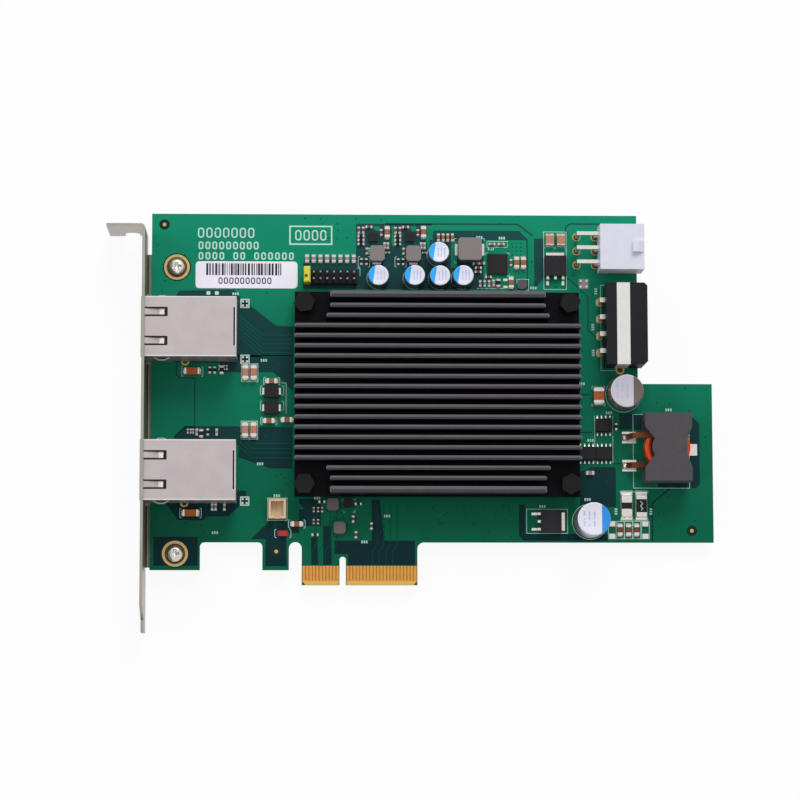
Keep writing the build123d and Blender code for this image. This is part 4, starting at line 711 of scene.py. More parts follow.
# %% Chip part maker
def chip_part(heap, x, y, length, width, height, upright, body, band=0.22, low=0.0):
    """One chip part: body, two caps and two solder joints. Upright ones lie along y."""
    def laid(along, reach, across):
        size = (across, reach) if upright else (reach, across)
        centre = (x, y + along) if upright else (x + along, y)
        return box_outline(*centre, *size, corner=min(size) * 0.12)

    heap.add(stack(laid(0, length - 0.04, width - 0.04), [
        (0, low + 0.06), (0, low + height - 0.08), (0.06, low + height - 0.02)]), body)
    for end in (-1, 1):
        cap = length * band
        heap.add(stack(laid(end * (length - cap) / 2, cap, width), [
            (0.03, low + 0.02), (0, low + 0.08), (0, low + height - 0.08), (0.07, low + height)]), 0)
        pad = cap + 0.30 * height + 0.12
        heap.add(stack(laid(end * (length / 2 - cap + pad / 2), pad, width + 0.16), [
            (0, 0.0), (0, 0.06), (0.14 * height, 0.28 * height), (0.21 * height, 0.55 * height)]), 0)


# %% [markdown]
# The larger chip parts have solids of their own, so their dressed pieces stand
# in the same places. The many tiny ones exist only here.

# %% Capacitors that have solids
C0603, C0805, C1206 = (1.60, 0.80, 0.80), (2.00, 1.25, 1.00), (3.20, 1.60, 1.40)
SLIM, TALL = (2.00, 0.90, 1.00), (4.10, 1.90, 1.80)
C1210, C1808, C1812, C2512 = (3.20, 2.50, 2.00), (4.50, 2.00, 1.80), (4.50, 3.20, 2.00), (6.30, 3.20, 0.90)
capacitors = Heap()
for case, upright, finish, places in [
    (SLIM, True, 1, [(28.64, 104.20), (30.04, 104.20), (31.44, 104.20), (32.84, 104.20)]),
    (C1206, True, 1, [(13.25, 105.70), (24.16, 105.80), (52.07, 96.60), (54.12, 96.60), (50.40, 90.55)]),
    (C1206, True, 4, [(82.44, 16.40), (84.98, 16.40), (87.41, 16.40)]),
    (C1206, False, 1, [(-21.24, 60.70), (-22.00, 48.83), (-16.6, 49.1), (-13.63, 18.09)]),
    (C1210, True, 3, [(62.06, 103.50), (65.40, 103.50)]),
    (C1808, False, 2, [(-44.90, 63.60), (-45.11, 21.30)]),
    (TALL, True, 3, [(-29.04, 63.24), (-26.54, 63.24), (-29.04, 46.05), (-26.54, 46.05)]),
    (C1812, True, 2, [(76.43, 56.46)]),
]:
    share = {C1210: 0.12, C1808: 0.13, C1206: 0.27, TALL: 0.24}.get(case, 0.22)
    for x, y in places:
        chip_part(capacitors, x, y, *case, upright, finish, share)
capacitors.make("dressed_capacitors", [solder, tan, orange_tan, pink_tan, brown_ceramic], slot="ceramic_tan",
                stands_for=["chip_capacitors"])

# %% Resistors, shunt and fuse
SHUNT, FUSE = (84.57, 23.62), (88.99, 23.63)


def on_pad(place, band):
    """A heap with one large chip part on its own pad of tin."""
    heap = Heap()
    chip_part(heap, *place, *C2512, True, 1, band=band)
    heap.add(stack(box_outline(*place, 3.5, 8.5, 0.2), [(0, 0.0), (0.04, 0.05)]), 0)
    return heap


resistors = Heap()
chip_part(resistors, 44.72, 102.30, *C0603, False, 2)
chip_part(resistors, 47.50, 102.30, *C0603, False, 3)
chip_part(resistors, 81.60, 47.30, *C0603, True, 1)
for x, y in [(-36.13, 64.04), (-42.07, 45.00)]:
    chip_part(resistors, x, y, *C0805, True, 1)
HEADER_X, HEADER_PITCH, HEADER_COLUMNS = -10.76, 2, 8
for i in range(HEADER_COLUMNS):
    chip_part(resistors, HEADER_X + HEADER_PITCH * i, 97.64, *C0805, True, 2, band=0.28)
resistors.make("dressed_resistors", [solder, dark_ceramic, grey_ceramic, orange_tan], slot="ceramic_black",
               stands_for=["chip_resistors"])
shunt = on_pad(SHUNT, 0.36)
shunt.make("dressed_shunt", [tin, dark_ceramic], slot="tin", stands_for=["shunt_resistor"])
fuse = on_pad(FUSE, 0.20)
fuse.add(strip([(88.6, 25.0), (89.3, 24.2), (88.6, 23.5), (89.3, 22.8), (88.8, 22.2)], 0.25, 0.9, 0.92), 2)
fuse.make("dressed_fuse", [tin, dark_ceramic, white_ink], slot="ceramic_black", stands_for=["fuse"])

# %% Tiny chip parts
C0402 = (1.00, 0.50, 0.45)
tiny = Heap()
CONVERTER = [
    (C0603, True, 1, [(4.75, 106.35), (6.05, 106.35), (11.47, 105.69), (7.17, 100.04)]),
    (C0603, False, 2, [(5.40, 104.59), (5.40, 103.37), (5.40, 102.15)]),
    (C0603, False, 1, [(7.77, 107.34)]),
    (C0603, True, 2, [(5.54, 96.83), (7.02, 96.84)]),
    (C0402, False, 3, [(13.40, 99.6)]),
    (C0603, True, 3, [(12.45, 101.7), (13.45, 101.7)]),
]
TINY = [
    (C0603, True, 1, [(50.4, 96.7)]),
    (C0603, True, 3, [(41.13, 90.3), (42.47, 90.3), (43.80, 90.3), (45.14, 90.5)]),
    (C0805, True, 2, [(46.6, 90.5)]),
    (C0603, False, 1, [(39.94, 96.4), (41.6, 96.4), (40.6, 95.1), (40.53, 93.85), (43.6, 92.3)]),
    (C0603, True, 2, [(-39.64, 64.0), (-38.2, 64.0), (-40.15, 45.4)]),
    (C0402, True, 3, [(-36.8, 64.8), (-35.4, 64.8), (-34.6, 64.8)]),
    (C0402, True, 3, [(-46.1, 45.7), (-45.2, 45.7), (-44.45, 45.7)]),
    (C0603, True, 3, [(-43.4, 45.4), (-37.5, 45.4), (-38.7, 23.1), (-37.7, 23.1), (-35.1, 23.1)]),
    (C0402, True, 1, [(-8.6, 22.4), (-7.3, 22.4), (-6.1, 22.4), (-8.6, 18.8), (-7.3, 18.8)]),
    (C0603, False, 2, [(-6.2, 24.7), (4.6, 24.1), (-8.2, 14.9)]),
    (C0603, True, 1, [(8.5, 17.5), (3.9, 14.9), (3.1, 19.6)]),
    (C0805, False, 3, [(73.7, 33.4)]),
]
TINY += [(case, upright, finish, [(x + 11.0 * step, y) for x, y in places])
         for case, upright, finish, places in CONVERTER for step in (0, 1)]
for case, upright, finish, places in TINY:
    for x, y in places:
        chip_part(tiny, x, y, *case, upright, finish)
tiny.make("tiny_parts", [solder, brown_ceramic, dark_ceramic, grey_ceramic], slot="ceramic_tan")

# %% [markdown]
# ## Upright capacitors
#
# An aluminium can is drawn from sheet, crimped onto its rubber bung in a
# groove, and printed on top. A turning gives the can with its groove and its
# rounded shoulder. The print needs to know where on the lid a point is, so each
# point carries its place on the lid as an attribute.


# %% Printed lid finish
def printed_can(name, side, lid, segment, colour, left):
    """Bare aluminium side, and a lid with a coloured segment and a few plain bars."""
    material, shader, place = start_finish(name)
    spot = place.node("ShaderNodeAttribute", {"attribute_name": "lid_place"}, output=1)
    across, along, top = parts_of(spot)
    toward = (0 - across) if left else across
    coloured = toward > ((segment - 0.14 * along) if left else segment)
    bar, reach = 0.10, 0.45
    bars = [
        (across > low) * (across < low + bar) * (along > -reach) * (along < reach)
        for low in ((-0.12, 0.18, 0.48) if left else (-0.62, -0.32, -0.02))
    ]
    breaks = noise(stretched(spot, 1.0, 6.0, 1.0), 1000.0) > 0.46
    marks = (bars[0] + bars[1] + bars[2]) * breaks * (1 - coloured)
    printed = blend(coloured, blend(marks * 0.7, lid, ink(150, 168, 222)), colour)
    speck = noise(place, 0.35)
    lined = noise(stretched(place, 1.0, 1.0, 0.02), 0.35)
    face = top > 0.5
    end_finish(shader, blend(face, side, printed), 0.30 + 0.12 * lined + 0.16 * face, lined + speck, 0.004)
    metal = 0.85 - 0.80 * face
    metal.tree.links.new(metal.socket, shader.inputs["Metallic"])
    return material


blue_can = printed_can(
    "can_blue_left", ink(150, 150, 158), ink(230, 230, 246), 0.42, ink(40, 172, 250), True)
blue_right_can = printed_can(
    "can_blue_right", ink(150, 150, 158), ink(226, 226, 240), 0.46, ink(28, 140, 226), False)
brown_can = printed_can(
    "can_brown_right", ink(150, 150, 156), ink(192, 188, 198), 0.39, ink(96, 84, 82), False)


# %% Cans
LID_DEPTH = 0.06


def can_profile(radius, low, top):
    """(radius, height) pairs up the side: rolled foot, crimp groove, shoulder, lid."""
    foot = [(0.35, 0), (0.06, 0.12), (0, 0.35), (0, 0.85), (0.26, 1.10), (0.30, 1.25), (0.26, 1.40),
            (0, 1.65)]
    shoulder = [(0, 0.50), (0.08, 0.22), (0.24, 0.05), (0.42, 0), (0.60, LID_DEPTH)]
    return [
        (0, low), *[(radius - inset, low + rise) for inset, rise in foot],
        *[(radius - inset, top - drop) for inset, drop in shoulder], (0, top - LID_DEPTH)]


cans = Heap()
lid_places = []
SMALL_CANS = [(10.50, 91.85), (21.30, 91.90), (28.50, 98.90), (28.85, 91.85), (35.80, 91.90)]
BROWN_CAN, BLUE_CAN, LARGE_RADIUS = (83.90, 57.00), (73.60, 18.90), 5.0
CANS = [(centre, 3.15, 0.0, 6.40, 0) for centre in SMALL_CANS]
CANS += [(BROWN_CAN, LARGE_RADIUS, 0.70, 10.20, 2), (BLUE_CAN, LARGE_RADIUS, 0.70, 12.50, 1)]
for centre, radius, low, top, finish in CANS:
    skin = turning(can_profile(radius, low, top), centre, 40)
    cans.add(skin, finish, smooth=True)
    points = skin[0]
    lid_places.append(np.column_stack([(points[:, :2] - centre) / radius, points[:, 2] > top - 0.07]))
can_piece = cans.make("dressed_cans", [blue_can, blue_right_can, brown_can], slot="can_aluminium",
                      stands_for=["capacitor_cans"])
lid_attribute = can_piece.data.attributes.new("lid_place", "FLOAT_VECTOR", "POINT")
lid_attribute.data.foreach_set("vector", np.concatenate(lid_places).astype(np.float32).ravel())
can_piece.data.update()
print("lids:", len(CANS))

# %% [markdown]
# ## The wound coil
#
# The power inductor is wound from flat enamelled copper, bent on its edge
# round the core's post like a spring. A helix path with a flat profile does it:
# sideways points out from the axis, upwards along it. Both ends leave straight
# for their soldered lands.

# %% Coil
COIL_X, COIL_Y, COIL_LOW, COIL_HIGH, COIL_WIDTH = 96.05, 40.40, 3.0, 8.3, 13.6
WIRE, THICK, TURNS, STEPS = 1.8, 0.84, 5.0, 260
radius = COIL_WIDTH / 2 - WIRE / 2
turn = np.linspace(0.75 * np.pi, 0.75 * np.pi + 2 * np.pi * TURNS + 0.5 * np.pi, STEPS)
climb = np.linspace(COIL_LOW + THICK / 2, COIL_HIGH - THICK / 2, STEPS)
outward = np.column_stack([np.cos(turn), np.sin(turn), np.zeros(STEPS)])
helix = outward * radius + np.column_stack([np.full(STEPS, COIL_X), np.full(STEPS, COIL_Y), climb])
coil = Heap()
flat_wire = box_outline(0, 0, WIRE, THICK, 0.12)
coil.add(sweep(helix, outward, np.tile([0.0, 0.0, 1.0], (STEPS, 1)), flat_wire), 0, smooth=True)
for y, level in ((44.04, COIL_HIGH - 0.45), (35.62, COIL_LOW + 0.45)):
    middle = COIL_X - (radius ** 2 - (y - COIL_Y) ** 2) ** 0.5
    bent = [(87.2, level), (86.2, level - 0.25), (84.9, 1.0), (84.4, 0.80), (83.4, 0.78)]
    line = np.array([(middle, level), *bent])
    ahead = np.gradient(line, axis=0)
    ahead /= np.linalg.norm(ahead, axis=1)[:, None]
    path = np.column_stack([line[:, 0], np.full(len(line), y), line[:, 1]])
    rise = np.column_stack([ahead[:, 1], np.zeros(len(line)), -ahead[:, 0]])
    across = np.tile([0.0, 1.0, 0.0], (len(line), 1))
    # The leads' darker enamel is painted shade.
    coil.add(sweep(path, across, rise, box_outline(0, 0, 1.6, 0.9)[::-1]), 2)
    joint = box_outline(84.2, y, 2.2, 2.3, 0.5, 3)
    coil.add(stack(joint, [(0, 0.3), (0.1, 0.7), (0.5, 1.25)]), 1, smooth=True)
coil.make("wound_coil", [enamel, solder, lead_shade_enamel], slot="copper", stands_for=["power_inductor_winding"])

# %% [markdown]
# ## Bracket screws
#
# A pan head is a turning with a domed profile, but its cross recess isn't
# round. So the head is a grid over radius and turn whose height is the dome
# minus a cross-shaped dip: deep where the point is near either arm of the cross.


# %% Screws
def cross_head(x, y, low, radius, height, arm=0.42, reach=1.35, deep=0.9, sides=64):
    """Dome height h = height * (1 - (r / R) ** 4 * 0.55); the recess takes away depth where
    the smaller of |x|, |y| is under the arm's half width and r is under its reach."""
    share = np.concatenate([np.linspace(0.02, 0.60, 16), np.linspace(0.66, 1.0, 8)])
    turn = np.linspace(0, 2 * np.pi, sides, endpoint=False)
    r = radius * share[::-1, None]
    px, py = r * np.cos(turn), r * np.sin(turn)
    dome = height * (1 - 0.55 * (r / radius) ** 4)
    near = np.minimum(abs(px), abs(py))
    dip = np.clip((arm - near) / 0.10, 0, 1) * np.clip((reach - r) / 0.25, 0, 1)
    pz = np.broadcast_to(dome, px.shape) - deep * dip * (1 - 0.5 * r / reach)
    rim = np.column_stack([circle(x, y, radius, turn), np.full(sides, low)])
    top = np.stack([x + px, y + py, low + pz], -1).reshape(-1, 3)
    return np.concatenate([rim, top]), capped(len(share) + 1, sides)


screws = Heap()
rings = Heap()
HOLE, SOLDER, RING, BROWN, GREY = 1, 2, 3, 4, 5
shank = [(0, -2.7), (1.3, -2.7), (1.45, -2.5), (1.45, 0.1), (0, 0.1)]
for x, y in ((-49.65, 95.0), (-49.65, 9.25)):
    screws.add(cross_head(x, y, 0.06, 2.45, 1.80), 0, smooth=True)
    screws.add(turning(shank, (x, y), 24), 0)
    rings.add(washer(1.75, 3.85, 0.0, 0.06, (x, y), 48), RING)
    # The brown ring round the foot of each head is painted shade.
    rings.add(washer(2.40, 3.05, 0.06, 0.09, (x, y), 48), BROWN)
    rings.add(washer(3.85, 4.2, 0.0, 0.03, (x, y), 48), HOLE)
screws.make("cross_screws", [bright_screw], slot="screw_steel", stands_for=["bracket_screws"])

# %% [markdown]
# ## Bare copper rings and pads
#
# Gold rings surround the screw holes and the ports' ground tabs, and oval pads
# the power inlet's tails.

# %% Rings and pads
PORTS_Y, TAB_X, TAB_SPREAD = (75.4, 33.1), -47.0, 8.775
FOUR_WAY_Y = (69.50, 74.58, 79.66, 84.74)
SIX_WAY_X, SIX_WAY_Y = (75.71, 70.16), (96.05, 100.3, 104.55)
PEG = (82.98, 64.45)
TEST_PADS = ((-29.3, 84.1), (-29.2, 67.3), (-29.1, 24.9))
for y in PORTS_Y:
    for side in (-1, 1):
        rings.add(washer(0.80, 1.25, 0.0, 0.05, (TAB_X, y + side * TAB_SPREAD)), RING)
        rings.add(washer(0.60, 0.82, 0.0, 0.04, (TAB_X, y + side * TAB_SPREAD)), BROWN)
for y in FOUR_WAY_Y:
    rings.add(stack(box_outline(76.90, y, 2.1, 2.6, 1.0, 5), [(0, 0.0), (0.03, 0.06)]), RING)
    rings.add(stack(box_outline(77.05, y, 1.2, 1.5, 0.55, 4), [(0, 0.06), (0.12, 0.20)]), BROWN, smooth=True)
mound = [(0, 0.05), (0.98, 0.05), (0.86, 0.12), (0.62, 0.14), (0, 0.14)]
for y in SIX_WAY_Y:
    for x in SIX_WAY_X:
        rings.add(disc(1.22, 0.0, 0.06, (x, y)), RING)
        rings.add(turning(mound, (x, y), 20), BROWN, smooth=True)
for x, y in ((-53.45, 107.89), (-19.71, 9.95), (104.02, 16.22)):
    rings.add(disc(1.57, 0.0, 0.03, (x, y), 32), HOLE)
    rings.add(disc(0.55, 0.02, 0.06, (x, y), 20), RING)
for x, y, length, width in (
        (48.75, 91.52, 1.4, 0.8), (48.75, 89.38, 1.4, 0.8), (80.21, 18.2, 1.9, 1.5), (80.21, 14.6, 1.9, 1.5),
        (90.11, 18.2, 1.9, 1.5), (90.11, 14.6, 1.9, 1.5), (-40.2, 87.2, 1.2, 1.1), (-37.7, 87.2, 1.2, 1.1),
        (34.02, 100.58, 0.9, 3.6), (41.99, 100.63, 0.9, 3.6), (10.14, 96.47, 2.6, 0.9),
        (21.14, 96.47, 2.6, 0.9)):
    rings.add(stack(box_outline(x, y, length, width, 0.15), [(0, 0.0), (0.04, 0.07)]), SOLDER)
rings.add(washer(0.85, 1.35, 0.0, 0.05, PEG), RING)
rings.add(disc(0.86, 0.0, 0.03, PEG), BROWN)
for place, size, finish in [(place, 2.0, HOLE) for place in TEST_PADS] + [((72.25, 90.44), 2.9, GREY)]:
    rings.add(plate(box_outline(*place, size, size), 0.0, 0.03), finish)
    for dot in circle(*place, 0.42 * size, np.radians([45, 135, 225, 315])):
        rings.add(plate(box_outline(*dot, 0.6, 0.6, 0.15), 0.03, 0.05), SOLDER)
rings.make("bare_copper", [gold, hole_dark, solder, ring_gold, hole_brown, dull_pin], slot="gold")

# %% [markdown]
# The gold runs on to the tongue's end, and between the contacts the plating's
# brown shows. Both are thin plates. On the back the end is bevelled, and there
# the plate's height follows y: z = -1.57 + 0.45 * (1 - y / 1.24).

# %% Contact ends and the plating between
BEVEL, BEVEL_DROP = 1.24, 0.45
plating = Heap()
for left, right, cut_left, cut_right in ((-12.05, -1.15, 1.0, 0.0), (1.15, 22.05, 0.0, 1.0)):
    slope = np.array([
        (left + cut_left, 0.04), (right - cut_right, 0.04), (right - 0.25 * cut_right, BEVEL - 0.3),
        (right, BEVEL + 0.02), (left, BEVEL + 0.02), (left + 0.25 * cut_left, BEVEL - 0.3)])
    for level, sign in ((0.0, 1), (BOARD_BACK, -1)):
        points, faces = plate(slope, min(0.0, sign * 0.045), max(0.0, sign * 0.045))
        points[:, 2] += level if sign == 1 else level + BEVEL_DROP * (1 - points[:, 1] / BEVEL)
        plating.add((points, faces), 0)
        between = box_outline((left + right) / 2, 3.47, right - left, 4.44)
        plating.add(plate(between, level + min(0.0, sign * SKIN), level + max(0.0, sign * SKIN)), 1)
plating.make("contact_plating", [bevel_gold, gap_brown], slot="gold")

# %% [markdown]
# ## White ink
#
# Most parts have a thin printed outline, and some have three short bars beside
# it. Rows of plain noughts fill one corner of the board.

# %% Printed outlines
INK, THIN, LINE, THICK_LINE = 0.035, 0.14, 0.16, 0.42
printing = Heap()


def print_line(points, line=LINE, closed=False):
    """A printed line along some points."""
    printing.add(strip(points, line, 0.0, INK, closed))


def ring_line(x, y, length, width, line=LINE):
    """A printed rectangle round a part."""
    print_line(box_outline(x, y, length, width), line, closed=True)


def bars(x, y, upright, count=3, length=0.45, height=0.8, pitch=0.7):
    """A short row of plain bars."""
    for i in range(count):
        middle = pitch * i + length / 2
        if upright:
            outline = box_outline(x, y + middle, height, length)
        else:
            outline = box_outline(x + middle, y, length, height)
        printing.add(plate(outline, 0.0, INK))


def corner_marks(x, y, length, width, reach=0.7):
    """The four corners of a printed rectangle, each a small angle."""
    for right, up in ((-1, -1), (1, -1), (1, 1), (-1, 1)):
        corner = np.array([x + right * length / 2, y + up * width / 2])
        print_line([corner - (right * reach, 0), corner, corner - (0, up * reach)], THIN)


def clasps(x, y, length, width, upright, reach=0.5, cut=0.25):
    """A printed bracket at each end of a part, with cut corners."""
    end, edge = length / 2, width / 2
    for side in (-1, 1):
        shape = np.array([
            (end - reach, edge), (end - cut, edge), (end, edge - cut),
            (end, cut - edge), (end - cut, -edge), (end - reach, -edge)]) * [side, 1]
        if upright:
            shape = shape[:, ::-1]
        print_line(shape + [x, y])


def nought(x, y, width, height, line, low=0.0, high=INK):
    """A plain rounded nought, a closed line along a rectangle with round corners."""
    outline = box_outline(x, y, width - line, height - line, 0.45 * (min(width, height) - line), 3)
    return strip(outline, line, low, high, closed=True)


for (x, y), radius, low, top, finish in CANS:
    if radius == LARGE_RADIUS:
        turn = np.linspace(0, 2 * np.pi, 40, endpoint=False)
        print_line(circle(x, y, radius + 0.30, turn), 0.18, closed=True)
    else:
        turn = np.radians(np.linspace(110, 290, 24))
        print_line(circle(x, y, radius + 0.18, turn), THIN)
RINGED = [
    (46.36, 102.30, 6.2, 1.8), (63.7, 97.4, 6.8, 17.5), (60.8, 19.0, 12.2, 7.2), (95.1, 39.98, 16.8, 22.1),
    (-19.44, 22.51, 5.8, 6.6), (53.96, 90.0, 3.5, 3.4),
]
RINGED += [(x, y, 2.4, 5.4) for y in (63.24, 46.05) for x in (-29.04, -26.54)]
RINGED += [(x, 16.4, 2.3, 5.2) for x in (80.21, 82.60, 85.05, 87.55, 90.11)]
for x, y, length, width in RINGED:
    ring_line(x, y, length, width)
for place in TEST_PADS:
    ring_line(*place, 2.4, 2.4, 0.35)
for x, y, length, width in [
    (46.36, 96.2, 7.0, 7.0), (37.94, 100.28, 9.0, 7.4), (1.77, 23.56, 3.8, 3.8), (76.43, 56.46, 3.9, 5.8),
]:
    corner_marks(x, y, length, width)
for x, y, length, width, upright in [
    (-44.90, 63.60, 6.4, 2.9, False), (-45.11, 21.30, 6.4, 2.9, False), (-17.77, 15.28, 4.8, 2.4, False),
    (-13.63, 18.09, 5.0, 2.4, False), (6.28, 96.84, 3.4, 3.2, False), (17.28, 96.84, 3.4, 3.2, False),
    (-21.1, 57.9, 6.9, 2.7, False), (-21.1, 53.4, 6.9, 2.7, False), (-21.24, 60.70, 4.8, 2.3, False),
    (-22.00, 48.83, 4.8, 2.3, False), (84.57, 23.62, 8.9, 3.9, True), (88.99, 23.63, 8.9, 3.9, True),
]:
    clasps(x, y, length, width, upright)
for line in [
    [(60.3, 101.3), (67.1, 101.3)], [(75.22, 50.6), (75.22, 36.5)], [(80.61, 50.6), (80.61, 36.5)],
    [(82.6, 90.0), (77.3, 90.0), (77.3, 64.2), (82.0, 64.2)], [(-18.3, 60.2), (-16.9, 60.2), (-16.9, 51.0)],
    [(4.2, 94.9), (5.1, 94.9), (5.1, 92.4)], [(40.2, 88.9), (48.2, 88.9)],
]:
    print_line(line)

# %% Noughts and bars
for y, height, width, pitch, places in [
    (105.45, 3.1, 1.9, 2.50, range(7)), (101.6, 2.4, 1.5, 2.06, range(9)),
    (98.45, 2.3, 1.45, 2.08, [0, 1, 2, 3, 5, 6, 8, 9, 10, 11, 12, 13]),
]:
    for i in places:
        printing.add(nought(-42.5 + pitch * i, y, width, height, THICK_LINE))
ring_line(-9.65, 104.8, 12.5, 5.4, 0.45)
for i in range(4):
    printing.add(nought(-13.4 + 2.5 * i, 104.8, 1.9, 3.2, THICK_LINE))
for x, y, upright in [
    (8.0, 99.2, True), (46.8, 104.2, False), (56.2, 89.1, False), (43.5, 100.9, False),
    (40.0, 104.4, False), (75.9, 87.2, True), (74.9, 76.4, True), (75.0, 68.6, True),
    (58.5, 23.4, False), (72.0, 25.5, False), (81.4, 21.0, True), (91.8, 21.0, True),
    (-20.5, 26.5, False), (-25.5, 36.0, False), (-24.5, 67.0, False), (78.6, 51.5, False),
    (73.0, 43.2, False), (96.5, 52.4, False), (-38.8, 15.5, False), (-8.5, 25.8, False),
    (12.2, 20.5, False), (5.5, 12.8, False), (70.5, 60.2, False), (-33.0, 87.0, False),
]:
    bars(x, y, upright)
printing.make("white_printing", [white_ink], slot="paper")

# %% [markdown]
# ## Label
#
# The paper label has rounded corners. Its bars are plain stripes of uneven
# width, so they stand for no number. Random widths come from a seeded
# generator, so that each run gives the same label.

# %% Label bars
rng = np.random.default_rng(7)
label_ink = mottled("label_ink", (52, 48, 56), (40, 36, 44), 0.8, 0.60, 0.10, 0.10, 0.004)
label_paper = mottled("label_paper", (246, 244, 254), (238, 235, 250), 3.0, 0.46, 0.08, 0.15, 0.003)
PAPER, PAPER_TOP, PAPER_INK = (-28.83, 92.72, 30.47, 8.15), 0.10, 0.115
label = Heap()
label.add(stack(box_outline(*PAPER, 1.1, 5), [(0, 0.0), (0, 0.09), (0.03, PAPER_TOP)]), 1)
start, last = -40.9, -18.2
while start < last:
    width = float(rng.choice([0.20, 0.30, 0.44, 0.62]))
    label.add(plate(box_outline(start + width / 2, 94.4, width, 3.6), PAPER_TOP, PAPER_INK))
    start += width + float(rng.choice([0.20, 0.30, 0.44]))
for i in range(10):
    label.add(nought(-36.6 + 1.62 * i, 90.95, 1.25, 2.0, 0.32, PAPER_TOP, PAPER_INK))
label.make("label", [label_ink, label_paper], slot="paper", stands_for=["label"])

# %% [markdown]
# ## Fins, port tops and the jumper
#
# Each fin gets a thicker, tapered sleeve, whose milled tip has a painted highlight
# on the side facing the light and painted shade on the other. The shields get
# painted highlights on their folded edges and painted shade in the gaps round
# their springs and in a slot at the rear.

# %% Fin sleeves
SINK_LEFT, SINK_RIGHT, FIN_PITCH, FIN_END, TIP = -14.40, 70.30, 3.0118, 0.2, 12.02
fins = Heap()
fin_rows = [27.55] + [30.90 + FIN_PITCH * i for i in range(18)] + [85.45]
for row, y in enumerate(fin_rows):
    from_edge = min(row, len(fin_rows) - 1 - row)
    cut = {0: 10.5, 1: 10.5, 2: 9.4}.get(from_edge, 0.0)
    thick = 1.25 if from_edge else 1.9
    left, right = SINK_LEFT + cut + FIN_END, SINK_RIGHT - cut - FIN_END
    middle, length = (left + right) / 2, right - left
    fins.add(stack(box_outline(middle, y, length, thick), [(-0.18, FIN_FOOT), (0, 11.95), (0.06, TIP)]), 0)
    # The half of each tip toward the light gets a painted highlight, the other half painted shade.
    for side, finish in ((1, 1), (-1, 2)):
        half = box_outline(middle, y + side * thick / 4, length - FIN_END, thick / 2 - 0.04)
        fins.add(plate(half, TIP, TIP + 0.015), finish)
fins.make("fin_sleeves", [anodised, tip_painted_highlight, tip_painted_shade], slot="sink_black")

# %% Port tops and jumper
PORT_TOP, SLOT_SPREAD = 13.5, 4.3
GAP_SHADE, EDGE_HIGHLIGHT, JUMPER_HOLE, SHADE_STRIP, HIGHLIGHT_STRIP = 0, 1, 2, 3, 4
tops = Heap()


def top_line(first, last, width, finish, height=0.015):
    """A thin straight line on a port's top."""
    tops.add(strip([first, last], width, PORT_TOP, PORT_TOP + height), finish)


for y in PORTS_Y:
    for side in (-1, 1):
        # A painted highlight along each folded edge of the shield.
        top_line((-59.3, y + side * 8.72), (-31.7, y + side * 8.72), 0.32, EDGE_HIGHLIGHT, 0.02)
        slot_y = y + side * SLOT_SPREAD
        # Painted shade round the slot beside each spring.
        top_line((-58.5, slot_y + 1.20), (-51.9, slot_y + 1.20), 0.40, GAP_SHADE)
        top_line((-58.5, slot_y - 1.14), (-51.9, slot_y - 1.14), 0.52, GAP_SHADE)
        top_line((-52.2, slot_y - 1.3), (-52.2, slot_y + 1.3), 0.95, GAP_SHADE, 0.018)
    # Painted shade at the shield's rear end, with a painted highlight along its edge.
    top_line((-32.15, y - 5.7), (-32.15, y + 5.7), 0.5, GAP_SHADE)
    top_line((-31.75, y - 5.9), (-31.75, y + 5.9), 0.22, EDGE_HIGHLIGHT, 0.02)
# Strips of painted shade, with a painted reflection of the board, and of painted highlight stand for the
# bracket's flange beside the board's edge.
for first, last in ((87.0, 98.8), (42.6, 65.9), (5.2, 23.6)):
    tops.add(strip([(-58.55, first), (-58.55, last)], 1.25, BOARD_BACK, BOARD_BACK + 0.04), SHADE_STRIP)
    tops.add(strip([(-57.55, first), (-57.55, last)], 0.60, BOARD_BACK, BOARD_BACK + 0.05), HIGHLIGHT_STRIP)
tops.add(plate(box_outline(-11.04, 91.47, 0.9, 0.9), 7.5, 7.515), JUMPER_HOLE)
tops.make("sheet_details", [gap_shade_paint, sheet_edge_highlight, hole_brown, shade_and_reflection_on_flange, highlight_on_flange], slot="shield_steel")

# %% [markdown]
# ## The underside
#
# Every part with leads is soldered on the far side. A joint is a small bell of
# solder round the end of the lead, on a round pad.

# %% Solder joints below
JOINTS = []
for y in PORTS_Y:
    for x in (-37.0, -34.46):
        JOINTS += [(x, y + 2.54 * (i - 2), 0.95) for i in range(5)]
    JOINTS += [(TAB_X, y + side * TAB_SPREAD, 1.3) for side in (-1, 1)]
JOINTS += [(HEADER_X + HEADER_PITCH * i, y, 0.75) for i in range(HEADER_COLUMNS) for y in (90.95, 92.95)]
JOINTS += [(x, y, 1.2) for x in SIX_WAY_X for y in SIX_WAY_Y]
JOINTS += [(77.17, y, 1.5) for y in FOUR_WAY_Y]
JOINTS += [(x + side * 2.5, y, 1.0) for x, y in (BROWN_CAN, BLUE_CAN) for side in (-1, 1)]
BELL = np.array([(0, -1.30), (0.30, -1.28), (0.42, -0.9), (0.62, -0.40), (1, -0.06), (1, 0), (0, 0)])
joints = Heap()
for x, y, radius in JOINTS:
    joints.add(turning(BELL * (radius, 1) + (0, BOARD_BACK), (x, y), 16), 0, smooth=True)
joints.make("solder_joints", [solder], slot="tin")
back_ink = Heap()
for x, y, length, width in [(-40.0, 75.4, 20.0, 17.0), (-40.0, 33.1, 20.0, 17.0), (27.8, 56.7, 40.0, 40.0)]:
    outline = box_outline(x, y, length, width)
    back_ink.add(strip(outline, LINE, BOARD_BACK - 0.04, BOARD_BACK, closed=True))
back_ink.make("back_printing", [white_ink], slot="paper")

# %% [markdown]
# ## Vias
#
# Plated holes tie the copper sheets together. Under the lacquer each is a low
# round bump in a deeper green. There are over two hundred, so each has ten sides.

